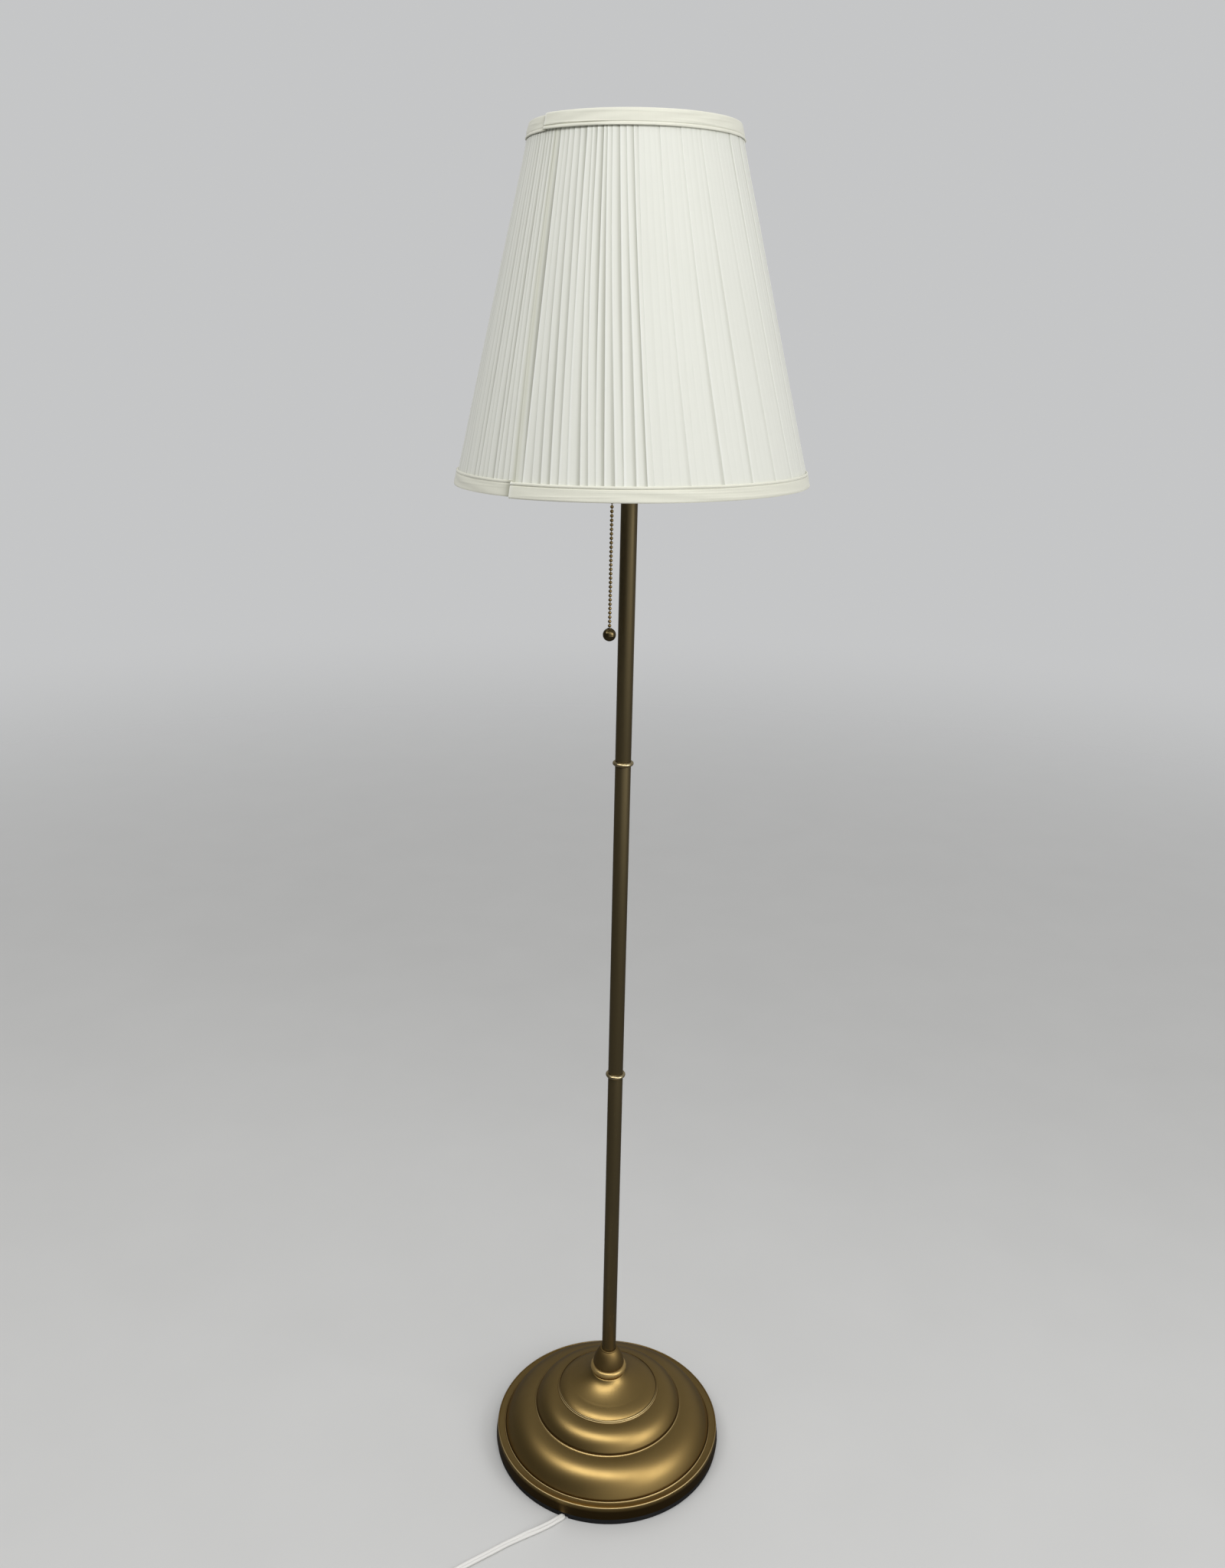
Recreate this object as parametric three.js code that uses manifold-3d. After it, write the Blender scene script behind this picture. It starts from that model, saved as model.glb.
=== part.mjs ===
// A floor lamp: a stepped round base, a straight pole of three screwed lengths, a lamp holder
// with a pull chain, and a pleated shade on a wire frame.
// Millimetres, +Z up. The origin is on the floor on the pole's axis, and the front is -Y.
import * as THREE from 'three';
import { mergeVertices } from 'three/addons/utils/BufferGeometryUtils.js';
import Module from 'manifold-3d';

const wasm = await Module();
wasm.setup();

// ---------------------------------------------------------------- driving dimensions

const GAP = 0.3; // between two pieces that touch

const BASE_RADIUS = 140;
const FOOT_HEIGHT = 8;
const NECK_HEIGHT = 101.2; // top of the base pressing
const CONE_BOTTOM = 112;
const CONE_TOP = 135;

const POLE_RADIUS = 8.5;
const POLE_BORE = 7.4;
const JOINT_HEIGHTS = [521, 897];
const POLE_TOP = 1256;

const SHADE_BOTTOM = 1189;
const SHADE_TOP = 1510;
const SHADE_BOTTOM_RADIUS = 175.4;
const SHADE_TOP_RADIUS = 97.4;
const TRIM_HEIGHT = 14;
const WIRE_INSET = 6.8; // from the outside of the trim to the middle of the frame's wires
const WIRE_RADIUS = 1.5;

const HOLDER_RADIUS = 19; // outside of the lamp holder's shell
const FITTER_HEIGHT = 1305.3; // underside of the shade's fitter ring
const BULB_BOTTOM = 1303;

const CHAIN_AT = new THREE.Vector2(-17, -27); // where the pull chain hangs
const SPOUT_HEIGHT = 1290; // axis of the chain's way out of the holder
const CHAIN_PITCH = 4.4;
const CHAIN_BEAD = 1.6; // radius of a bead
const CHAIN_LINK = 0.5; // radius between two beads
const BALL_RADIUS = 6.7;
const BALL_HEIGHT = 1041;

const LEAD_RADIUS = 2.4;
const CORD_WIDTH = 7.5;
const CORD_THICKNESS = 3.8;
const CORD_HEIGHT = 2.2; // middle of the flat cord above the floor
const CORD_EXIT = new THREE.Vector2(-49, -131.1); // where the cord crosses the rim of the foot
const CORD_OUT = new THREE.Vector2(-0.65, -0.76).normalize();
const COIL_CENTRE = new THREE.Vector2(-150, -287);
const COIL_MIDDLE_RADIUS = 44;
const COIL_WIDTH = 12; // three turns beside each other, on edge
const COIL_BOTTOM = 1.6; // the tie passes under it
const COIL_HEIGHT = 15.4; // two layers

const PLUG_AT = new THREE.Vector2(-84, -300); // the cord's end of the plug, which points to +Y
const PLUG_LENGTH = 36;
const PLUG_WIDTH = 24;
const PLUG_THICKNESS = 14;

// ---------------------------------------------------------------- finishes

const finish = (color, roughness, metalness) => ({ color, roughness, metalness });
const BRASS = finish(0x8a713f, 0.35, 1);
const DARK_BRASS = finish(0x463c2a, 0.38, 1);
const BRIGHT_BRASS = finish(0xb89a5c, 0.25, 1);
const STEEL = finish(0x8f8f8c, 0.4, 1);
const IRON = finish(0x2c2b2a, 0.8, 0.6);
const BLACK = finish(0x17171a, 0.7, 0);
const FABRIC = finish(0xe8eae2, 0.95, 0);
const TRIM = finish(0xe1e1cd, 0.9, 0);
const FIBRE = finish(0xb9a585, 0.9, 0);
const PHENOLIC = finish(0x2a2220, 0.5, 0);
const WHITE_VINYL = finish(0xf2f0ea, 0.5, 0);
const GLASS = finish(0xf4f3ee, 0.3, 0);

// ---------------------------------------------------------------- geometry helpers

// Merge shared corners, drop collapsed triangles and turn the faces outwards.
function closedSolid(geometry) {
  geometry.deleteAttribute('normal');
  geometry.deleteAttribute('uv');
  const merged = mergeVertices(geometry, 1e-3);
  const corner = (i) => new THREE.Vector3().fromBufferAttribute(merged.attributes.position, i);
  const kept = [];
  let volume = 0;
  for (let i = 0; i < merged.index.count; i += 3) {
    const [a, b, c] = [0, 1, 2].map((k) => merged.index.getX(i + k));
    if (a === b || b === c || c === a) continue;
    kept.push([a, b, c]);
    volume += corner(a).dot(corner(b).cross(corner(c)));
  }
  merged.setIndex(kept.map(([a, b, c]) => (volume > 0 ? [a, b, c] : [a, c, b])).flat());
  return merged;
}

// Turn an outline of [radius, height] points about the Z axis.
function turned(outline, segments) {
  const points = outline.map(([r, z]) => new THREE.Vector2(r, z));
  const geometry = new THREE.LatheGeometry(points, segments);
  geometry.rotateX(Math.PI / 2);
  return closedSolid(geometry);
}

// Close an outline that doesn't touch the axis.
const loop = (outline) => [...outline, outline[0]];

const sleeve = (inner, outer, bottom, top, segments) =>
  turned(loop([[inner, bottom], [outer, bottom], [outer, top], [inner, top]]), segments);

const disc = (radius, bottom, top, segments) =>
  turned([[0, bottom], [radius, bottom], [radius, top], [0, top]], segments);

// Points of an arc in an outline, with its angles in degrees from the outward direction.
function arc(radius, [r, z], from, to, steps) {
  return Array.from({ length: steps + 1 }, (_, i) => {
    const angle = THREE.MathUtils.degToRad(from + ((to - from) * i) / steps);
    return [r + radius * Math.cos(angle), z + radius * Math.sin(angle)];
  });
}

// Points of a curve in an outline from start to end, bent towards a third point.
function bend(start, towards, end, steps) {
  const [a, b, c] = [start, towards, end].map(([r, z]) => new THREE.Vector2(r, z));
  return new THREE.QuadraticBezierCurve(a, b, c).getPoints(steps).map((p) => [p.x, p.y]);
}

// A straight round bar between two points.
function bar(start, end, radius, segments) {
  const length = start.distanceTo(end);
  const geometry = disc(radius, 0, length, segments);
  const along = end.clone().sub(start).normalize();
  const turn = new THREE.Quaternion().setFromUnitVectors(new THREE.Vector3(0, 0, 1), along);
  return geometry.applyQuaternion(turn).translate(start.x, start.y, start.z);
}

// A smooth curve whose steps are shared out evenly between its points, not along its length.
class PointwiseCurve extends THREE.CatmullRomCurve3 {
  getPointAt(share, target) {
    return this.getPoint(share, target);
  }

  getTangentAt(share, target) {
    return this.getTangent(share, target);
  }
}

// An ellipse of the given width and thickness, carried along a path.
function tube(points, width, thickness, sides, stepsBetweenPoints) {
  const path = new PointwiseCurve(points);
  const steps = stepsBetweenPoints * (points.length - 1);
  const section = new THREE.Shape();
  for (let i = 0; i < sides; i += 1) {
    const angle = (2 * Math.PI * (i + 0.5)) / sides;
    const [x, y] = [(thickness / 2) * Math.cos(angle), (width / 2) * Math.sin(angle)];
    if (i === 0) section.moveTo(x, y);
    else section.lineTo(x, y);
  }
  const settings = { steps, bevelEnabled: false, extrudePath: path };
  return closedSolid(new THREE.ExtrudeGeometry(section, settings));
}

// A ring of round wire.
const wireRing = (radius, height) =>
  turned(loop(arc(WIRE_RADIUS, [radius, height], 0, 300, 5)), 40);

const box = (x, y, z) => closedSolid(new THREE.BoxGeometry(x, y, z));

// A hexagonal nut about the Z axis.
function hexNut(acrossCorners, bore, bottom, top) {
  const hexagon = toManifold(disc(acrossCorners / 2, bottom, top, 6));
  const hole = toManifold(disc(bore, bottom - 1, top + 1, 16));
  return fromManifold(hexagon.subtract(hole));
}

function toManifold(geometry) {
  const vertProperties = Float32Array.from(geometry.attributes.position.array);
  const triVerts = Uint32Array.from(geometry.index.array);
  return new wasm.Manifold(new wasm.Mesh({ numProp: 3, vertProperties, triVerts }));
}

function fromManifold(solid) {
  const mesh = solid.getMesh();
  const geometry = new THREE.BufferGeometry();
  geometry.setAttribute('position', new THREE.BufferAttribute(mesh.vertProperties, 3));
  geometry.setIndex(Array.from(mesh.triVerts));
  return closedSolid(geometry);
}

// The pull chain's way out of the holder: outwards from the axis, and the place along it.
const OUTWARDS = new THREE.Vector3(CHAIN_AT.x, CHAIN_AT.y, 0).normalize();
const CHAIN_RADIUS = CHAIN_AT.length();
const spoutTurn = Math.atan2(OUTWARDS.y, OUTWARDS.x);

// Geometry drawn with +X outwards along the spout is turned about the pole to where it belongs.
const onSpout = (geometry) => geometry.rotateZ(spoutTurn);

// ---------------------------------------------------------------- assembly

const lamp = new THREE.Group();

function add(name, geometry, look) {
  const mesh = new THREE.Mesh(geometry, new THREE.MeshStandardMaterial(look));
  mesh.name = name;
  lamp.add(mesh);
  return mesh;
}

// ---------------------------------------------------------------- base

const ROD_RADIUS = 5;
const ROD_BORE = 2.9;
const WEIGHT_BOTTOM = 24;
const WEIGHT_TOP = 34;
const WEIGHT_RADIUS = 104;
const WEIGHT_CHAMFER = 3;
const BASE_WALL = 1.3;

// The pressing flares out from the neck like a bell to a first fine ridge, and steps down in two
// convex treads, each with a ridge under it, to a shallow channel, a rolled rim and a short skirt.
function makeBaseShell() {
  const hole = ROD_RADIUS + GAP;
  const outside = [
    [hole, NECK_HEIGHT],
    ...bend([21.5, NECK_HEIGHT], [27, 91], [45, 83.2], 3),
    ...bend([45, 83.2], [55.5, 79.6], [60.2, 75], 3).slice(1),
    [61.6, 74.8],
    ...bend([62.4, 73.4], [81, 71], [89.6, 54.5], 4),
    [89.9, 53.1],
    ...bend([91.3, 52.6], [116, 49.5], [127.4, 23.4], 5),
    [128.4, 22.4],
    [129.4, 23.2],
    [130.4, 22.2],
    [134.4, 22.4],
    ...arc(2.2, [136.2, 22.2], 150, 0, 4),
    [BASE_RADIUS, FOOT_HEIGHT],
  ];
  const inside = [
    [BASE_RADIUS - BASE_WALL, FOOT_HEIGHT],
    [137, 20.6],
    [127.2, 20.6],
    ...bend([126, 22], [114.2, 47], [89.6, 50.9], 3),
    ...bend([88, 53], [79.6, 69], [60.6, 71.8], 3),
    ...bend([58.6, 74], [53.6, 78.2], [44.4, 81.6], 2),
    ...bend([44.4, 81.6], [25.6, 89.4], [20.1, NECK_HEIGHT - 1.4], 2).slice(1),
    [hole, NECK_HEIGHT - 1.4],
  ];
  return turned(loop([...outside, ...inside]), 32);
}

// The foot is a black ring, notched where the cord comes out under it.
const FOOT_TOP = FOOT_HEIGHT - GAP;
const FOOT_INNER_RADIUS = 124;
const NOTCH_WIDTH = 10.4;
const NOTCH_HEIGHT = 6;
const GLAND_LENGTH = 16;
const GLAND_SETBACK = 3; // from the rim to the gland's outer face
const exitTurn = Math.atan2(CORD_OUT.y, CORD_OUT.x);

// A block on the cord's line out of the base, with its outer face set back from the rim.
function blockOnExit(length, width, bottom, top, setback) {
  const middle = CORD_EXIT.clone().addScaledVector(CORD_OUT, -setback - length / 2);
  const block = box(length, width, top - bottom).rotateZ(exitTurn);
  return block.translate(middle.x, middle.y, (bottom + top) / 2);
}

function makeFootRing() {
  const ring = toManifold(sleeve(FOOT_INNER_RADIUS, BASE_RADIUS - 0.4, 0, FOOT_TOP, 32));
  const notch = toManifold(blockOnExit(60, NOTCH_WIDTH, -1, NOTCH_HEIGHT, -20));
  return fromManifold(ring.subtract(notch));
}

add('base_shell', makeBaseShell(), BRASS);
add('foot_ring', makeFootRing(), BLACK);

const glandWidth = NOTCH_WIDTH - 2 * GAP;
const gland = blockOnExit(GLAND_LENGTH, glandWidth, GAP, NOTCH_HEIGHT - GAP, GLAND_SETBACK);
add('cord_gland', gland, BLACK);
add(
  'base_weight',
  turned(
    loop([
      [ROD_RADIUS + GAP, WEIGHT_BOTTOM],
      [WEIGHT_RADIUS, WEIGHT_BOTTOM],
      [WEIGHT_RADIUS, WEIGHT_TOP - WEIGHT_CHAMFER],
      [WEIGHT_RADIUS - WEIGHT_CHAMFER, WEIGHT_TOP],
      [ROD_RADIUS + GAP, WEIGHT_TOP],
    ]),
    40,
  ),
  IRON,
);

// A washer and a nut under the weight.
const ROD_HOLE = ROD_RADIUS + GAP;
const WASHER_RADIUS = 14;
const WASHER_THICKNESS = 2;
const NUT_CORNERS = 19;
const NUT_HEIGHT = 7;
const washerTop = WEIGHT_BOTTOM - GAP;
const nutTop = washerTop - WASHER_THICKNESS - GAP;
add('base_washer', sleeve(ROD_HOLE, WASHER_RADIUS, washerTop - WASHER_THICKNESS, washerTop, 20), STEEL);
add('base_nut', hexNut(NUT_CORNERS, ROD_HOLE, nutTop - NUT_HEIGHT, nutTop), STEEL);

// The stud through the base widens inside the pole, which screws down onto it.
const POLE_SEAT = 116; // the lowest tube stands inside the cone
const STUD_BOTTOM = 12;
const STUD_LENGTH_IN_POLE = 30;
const wideStud = POLE_BORE - GAP;
add(
  'base_stud',
  turned(
    loop([
      [ROD_BORE, STUD_BOTTOM],
      [ROD_RADIUS, STUD_BOTTOM],
      [ROD_RADIUS, POLE_SEAT],
      [wideStud, POLE_SEAT],
      [wideStud, POLE_SEAT + STUD_LENGTH_IN_POLE],
      [ROD_BORE, POLE_SEAT + STUD_LENGTH_IN_POLE],
    ]),
    16,
  ),
  STEEL,
);

const NECK_RING_RADIUS = 4.9;
const NECK_RING_BORE = 8;
const neckRingMiddle = [17.3, (NECK_HEIGHT + CONE_BOTTOM) / 2];
add(
  'neck_ring',
  turned(
    loop([
      [NECK_RING_BORE, neckRingMiddle[1] - NECK_RING_RADIUS],
      ...arc(NECK_RING_RADIUS, neckRingMiddle, -90, 90, 6),
      [NECK_RING_BORE, neckRingMiddle[1] + NECK_RING_RADIUS],
    ]),
    20,
  ),
  BRIGHT_BRASS,
);
add(
  'neck_cone',
  turned(
    loop([
      ...bend([20, CONE_BOTTOM], [16.6, 125], [9.8, CONE_TOP - 0.6], 5),
      [9.4, CONE_TOP],
      [POLE_RADIUS + GAP, CONE_TOP],
      [POLE_RADIUS + GAP, CONE_TOP - 12],
      [17.4, CONE_BOTTOM],
    ]),
    24,
  ),
  BRASS,
);

// ---------------------------------------------------------------- pole

const RING_HALF_HEIGHT = 2.5;
const RING_BEAD_MIDDLE = 8.9; // from the pole's axis
const JOINT_SCREW_BORE = 4.2;
const JOINT_SCREW_HALF_LENGTH = 20;
const NIPPLE_LENGTH_IN_POLE = 20;
const NIPPLE_LENGTH_IN_CAP = 11;

function addPoleTube(name, bottom, top) {
  add(name, sleeve(POLE_BORE, POLE_RADIUS, bottom, top, 24), DARK_BRASS);
}

const ringClearance = RING_HALF_HEIGHT + GAP;
addPoleTube('pole_lower', POLE_SEAT, JOINT_HEIGHTS[0] - ringClearance);
addPoleTube('pole_middle', JOINT_HEIGHTS[0] + ringClearance, JOINT_HEIGHTS[1] - ringClearance);
addPoleTube('pole_upper', JOINT_HEIGHTS[1] + ringClearance, POLE_TOP);

['lower', 'upper'].forEach((place, i) => {
  const height = JOINT_HEIGHTS[i];
  const bead = arc(RING_HALF_HEIGHT, [RING_BEAD_MIDDLE, height], -90, 90, 4);
  const underside = [POLE_BORE, height - RING_HALF_HEIGHT];
  const topside = [POLE_BORE, height + RING_HALF_HEIGHT];
  add(`joint_ring_${place}`, turned(loop([underside, ...bead, topside]), 20), BRIGHT_BRASS);
  const [screwBottom, screwTop] = [-1, 1].map((side) => height + side * JOINT_SCREW_HALF_LENGTH);
  add(`joint_screw_${place}`, sleeve(JOINT_SCREW_BORE, wideStud, screwBottom, screwTop, 16), STEEL);
});

// The nipple at the top holds the lamp holder's cap on the pole.
add(
  'holder_nipple',
  turned(
    loop([
      [ROD_BORE, POLE_TOP - NIPPLE_LENGTH_IN_POLE],
      [wideStud, POLE_TOP - NIPPLE_LENGTH_IN_POLE],
      [wideStud, POLE_TOP],
      [ROD_RADIUS, POLE_TOP],
      [ROD_RADIUS, POLE_TOP + NIPPLE_LENGTH_IN_CAP],
      [ROD_BORE, POLE_TOP + NIPPLE_LENGTH_IN_CAP],
    ]),
    16,
  ),
  STEEL,
);

// ---------------------------------------------------------------- lamp holder

const CAP_BOTTOM = POLE_TOP + GAP;
const CAP_TOP = 1282;
const SHELL_BOTTOM = 1276;
const SHELL_TOP = 1321;
const BODY_BOTTOM = 1271;
const BODY_TOP = 1300;
const SLEEVE_RADIUS = 17.9;
const SLEEVE_BOTTOM = 1278;
const SLEEVE_TOP = 1319;
const BODY_RADIUS = 16.9;
const SHEET_WALL = 0.8; // of the cap and the shell
const SHOULDER = 3; // the shell's ledge under the fitter ring

// A cylinder lying along the spout, between two distances from the pole's axis.
function along(radius, from, to, height, segments) {
  const start = new THREE.Vector3(from, 0, height);
  const end = new THREE.Vector3(to, 0, height);
  return onSpout(bar(start, end, radius, segments));
}

// A cylinder lying across the spout, centred at a distance from the pole's axis.
function across(radius, length, distance, height, segments) {
  const start = new THREE.Vector3(distance, -length / 2, height);
  const end = new THREE.Vector3(distance, length / 2, height);
  return onSpout(bar(start, end, radius, segments));
}

function makeHolderCap() {
  const inner = HOLDER_RADIUS + GAP;
  const outer = inner + SHEET_WALL;
  return turned(
    loop([
      [ROD_RADIUS + GAP, CAP_BOTTOM],
      [10, CAP_BOTTOM],
      [10, CAP_BOTTOM + 4],
      ...bend([12, CAP_BOTTOM + 5], [outer, CAP_BOTTOM + 6], [outer, CAP_BOTTOM + 16], 3),
      [outer, CAP_TOP],
      [inner, CAP_TOP],
      ...bend([inner, CAP_BOTTOM + 16], [inner, CAP_BOTTOM + 7], [11, CAP_BOTTOM + 5.6], 2),
      [ROD_RADIUS + GAP, CAP_BOTTOM + 5.6],
    ]),
    20,
  );
}

function makeHolderShell() {
  const shoulderTop = FITTER_HEIGHT - GAP;
  const shell = turned(
    loop([
      [HOLDER_RADIUS - SHEET_WALL, SHELL_BOTTOM],
      [HOLDER_RADIUS, SHELL_BOTTOM],
      [HOLDER_RADIUS, shoulderTop - 2],
      [HOLDER_RADIUS + SHOULDER, shoulderTop - 1.6],
      [HOLDER_RADIUS + SHOULDER, shoulderTop],
      [HOLDER_RADIUS, shoulderTop],
      [HOLDER_RADIUS, SHELL_TOP],
      [HOLDER_RADIUS - SHEET_WALL, SHELL_TOP],
    ]),
    24,
  );
  return drilled(shell);
}

// Cut the hole that the pull chain passes through.
function drilled(geometry) {
  const drill = toManifold(along(3, 12, 24, SPOUT_HEIGHT, 12));
  return fromManifold(toManifold(geometry).subtract(drill));
}

// The switch body is slotted along the spout for the lever and the contact drum.
const LEVER_AT = 8;
const LEVER_ARM = 13;
const LEVER_WIDTH = 3;
const DRUM_HEIGHT = 1281;
const DRUM_RADIUS = 4.2;
const DRUM_WIDTH = 6.4;
const PIN_RADIUS = 1;
const PIN_LENGTH = 15;
const PIN_HOLE = PIN_RADIUS + GAP;
const SLOT_LENGTH = 26;
const SLOT_WIDTH = 8;
const SLOT_DEPTH = 23;
const pivotHeight = SPOUT_HEIGHT - LEVER_ARM;

function makeSwitchBody() {
  const block = toManifold(disc(BODY_RADIUS, BODY_BOTTOM, BODY_TOP, 24));
  const slotMiddle = BODY_TOP - SLOT_DEPTH / 2 - 3;
  const slotBox = onSpout(box(SLOT_LENGTH, SLOT_WIDTH, SLOT_DEPTH).translate(6.5, 0, slotMiddle));
  const leverHole = across(PIN_HOLE, PIN_LENGTH + 1, LEVER_AT, pivotHeight, 10);
  const drumHole = across(PIN_HOLE, PIN_LENGTH + 1, 0, DRUM_HEIGHT, 10);
  return fromManifold(
    [slotBox, leverHole, drumHole].reduce((body, cut) => body.subtract(toManifold(cut)), block),
  );
}

// A flat lever with a round eye on its pin, standing up to the chain.
function makePullLever() {
  const eye = toManifold(across(2, LEVER_WIDTH, LEVER_AT, pivotHeight, 12));
  const bladeBox = box(1.8, LEVER_WIDTH, LEVER_ARM);
  const blade = onSpout(bladeBox.translate(LEVER_AT, 0, SPOUT_HEIGHT - LEVER_ARM / 2));
  const hole = toManifold(across(PIN_HOLE, LEVER_WIDTH + 2, LEVER_AT, pivotHeight, 10));
  return fromManifold(eye.add(toManifold(blade)).subtract(hole));
}

function makeContactDrum() {
  const drum = toManifold(across(DRUM_RADIUS, DRUM_WIDTH, 0, DRUM_HEIGHT, 16));
  return fromManifold(drum.subtract(toManifold(across(PIN_HOLE, 8, 0, DRUM_HEIGHT, 10))));
}

// An elbow: a flanged pipe out of the shell, a rounded corner and a bell mouth downwards.
const MOUTH_DEPTH = 12;
const GUIDE_BORE = 2.5;
const onAxis = ([r, z]) => [Math.max(r, 0), z]; // an arc's end, rounded onto the axis

function makeChainGuide() {
  const mouthBottom = SPOUT_HEIGHT - MOUTH_DEPTH;
  const flange = along(6.2, HOLDER_RADIUS + GAP, HOLDER_RADIUS + 1.6, SPOUT_HEIGHT, 16);
  const pipe = along(4, HOLDER_RADIUS + 1, CHAIN_RADIUS, SPOUT_HEIGHT, 16);
  const corner = turned(arc(5, [0, 0], -90, 90, 6).map(onAxis), 16);
  corner.translate(CHAIN_AT.x, CHAIN_AT.y, SPOUT_HEIGHT);
  const bell = turned(
    [
      [0, SPOUT_HEIGHT],
      [4.6, SPOUT_HEIGHT],
      ...bend([4.2, SPOUT_HEIGHT - 5], [4.4, SPOUT_HEIGHT - 9], [6.6, mouthBottom], 4),
      [0, mouthBottom],
    ],
    16,
  ).translate(CHAIN_AT.x, CHAIN_AT.y, 0);
  const bore = turned(
    [
      [0, SPOUT_HEIGHT],
      [GUIDE_BORE, SPOUT_HEIGHT],
      [GUIDE_BORE, SPOUT_HEIGHT - 6],
      [5.4, mouthBottom],
      [5.4, mouthBottom - 1],
      [0, mouthBottom - 1],
    ],
    12,
  ).translate(CHAIN_AT.x, CHAIN_AT.y, 0);
  const passage = along(GUIDE_BORE, HOLDER_RADIUS, CHAIN_RADIUS + 2.6, SPOUT_HEIGHT, 12);
  const join = (body, piece) => body.add(toManifold(piece));
  const outside = [pipe, corner, bell].reduce(join, toManifold(flange));
  return fromManifold(outside.subtract(toManifold(bore)).subtract(toManifold(passage)));
}

add('holder_cap', makeHolderCap(), BRASS);
add('holder_nut', hexNut(16, ROD_RADIUS + GAP, CAP_BOTTOM + 6, CAP_BOTTOM + 10), STEEL);
add('holder_shell', makeHolderShell(), BRASS);
const sleeveShape = sleeve(BODY_RADIUS + GAP, SLEEVE_RADIUS, SLEEVE_BOTTOM, SLEEVE_TOP, 24);
add('insulating_sleeve', drilled(sleeveShape), FIBRE);
add('switch_body', makeSwitchBody(), PHENOLIC);
add('lever_pin', across(PIN_RADIUS, PIN_LENGTH, LEVER_AT, pivotHeight, 8), STEEL);
add('drum_pin', across(PIN_RADIUS, PIN_LENGTH, 0, DRUM_HEIGHT, 8), STEEL);
add('pull_lever', makePullLever(), STEEL);
add('contact_drum', makeContactDrum(), PHENOLIC);

// The lever's torsion spring sits on its pin beside the lever's eye.
const spring = sleeve(1.6, 2.4, 1.6, 2.6, 12).rotateX(Math.PI / 2);
add('lever_spring', onSpout(spring.translate(LEVER_AT, 0, pivotHeight)), STEEL);
add('chain_guide', makeChainGuide(), BRASS);
add('screw_shell', sleeve(13.1, 13.7, BODY_TOP + GAP, SLEEVE_TOP, 24), BRIGHT_BRASS);
add('centre_contact', disc(3.5, BODY_TOP + GAP, BULB_BOTTOM - GAP, 12), BRIGHT_BRASS);

// The milled ring nut holds the shade's fitter ring down on the shell's ledge.
const FITTER_THICKNESS = 2;
const SHADE_NUT_RADIUS = 24;
const SHADE_NUT_TOP = FITTER_HEIGHT + 10;
const nutSeat = FITTER_HEIGHT + FITTER_THICKNESS + GAP;
add('shade_nut', sleeve(HOLDER_RADIUS + GAP, SHADE_NUT_RADIUS, nutSeat, SHADE_NUT_TOP, 24), BRASS);

// ---------------------------------------------------------------- bulb

const BULB_CAP_TOP = BULB_BOTTOM + 24;
const GLASS_RADIUS = 30;
const GLASS_MIDDLE = 1378;
const GLASS_WALL = 1;

// A pear shape with an open neck: a straight neck, a flare and most of a sphere.
function glassOutline(inset) {
  const neck = [12.4 - inset, BULB_CAP_TOP + GAP];
  const flareEnd = arc(GLASS_RADIUS - inset, [0, GLASS_MIDDLE], -38, 90, 6);
  return [...bend(neck, [14 - inset, 1345], flareEnd[0], 3), ...flareEnd.slice(1)];
}

function makeBulbGlass() {
  const outside = glassOutline(0).map(onAxis);
  const inside = glassOutline(GLASS_WALL).map(onAxis);
  return turned([...outside.reverse(), ...inside], 20);
}

add(
  'bulb_cap',
  turned(
    [
      [0, BULB_BOTTOM],
      [4, BULB_BOTTOM],
      [4.6, BULB_BOTTOM + 2],
      [12.7, BULB_BOTTOM + 6],
      [12.7, BULB_CAP_TOP],
      [0, BULB_CAP_TOP],
    ],
    24,
  ),
  STEEL,
);
add('bulb_glass', makeBulbGlass(), GLASS);

// ---------------------------------------------------------------- pull chain

// A string of beads as one turned piece, between two heights.
function beads(top, bottom, sides) {
  const count = Math.round((top - bottom) / CHAIN_PITCH);
  const pitch = (top - bottom) / count;
  const outline = [[0, top]];
  for (let i = 0; i < count; i += 1) {
    const middle = top - pitch * (i + 0.5);
    const half = 0.46 * pitch;
    outline.push([CHAIN_LINK, middle + half], [CHAIN_BEAD, middle], [CHAIN_LINK, middle - half]);
  }
  return turned([...outline, [0, bottom]], sides);
}

const atChain = (geometry) => geometry.translate(CHAIN_AT.x, CHAIN_AT.y, 0);
const COUPLING_TOP = SPOUT_HEIGHT - 2.8;
const COUPLING_RADIUS = 1.9;
const COUPLING_BOTTOM = COUPLING_TOP - CHAIN_PITCH;
const SWIVEL_HEIGHT = 2.6;
const SWIVEL_BOTTOM = COUPLING_BOTTOM - GAP - SWIVEL_HEIGHT;
const CHAIN_TOP = SWIVEL_BOTTOM - GAP;
const STUB_BEADS = 3;

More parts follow.
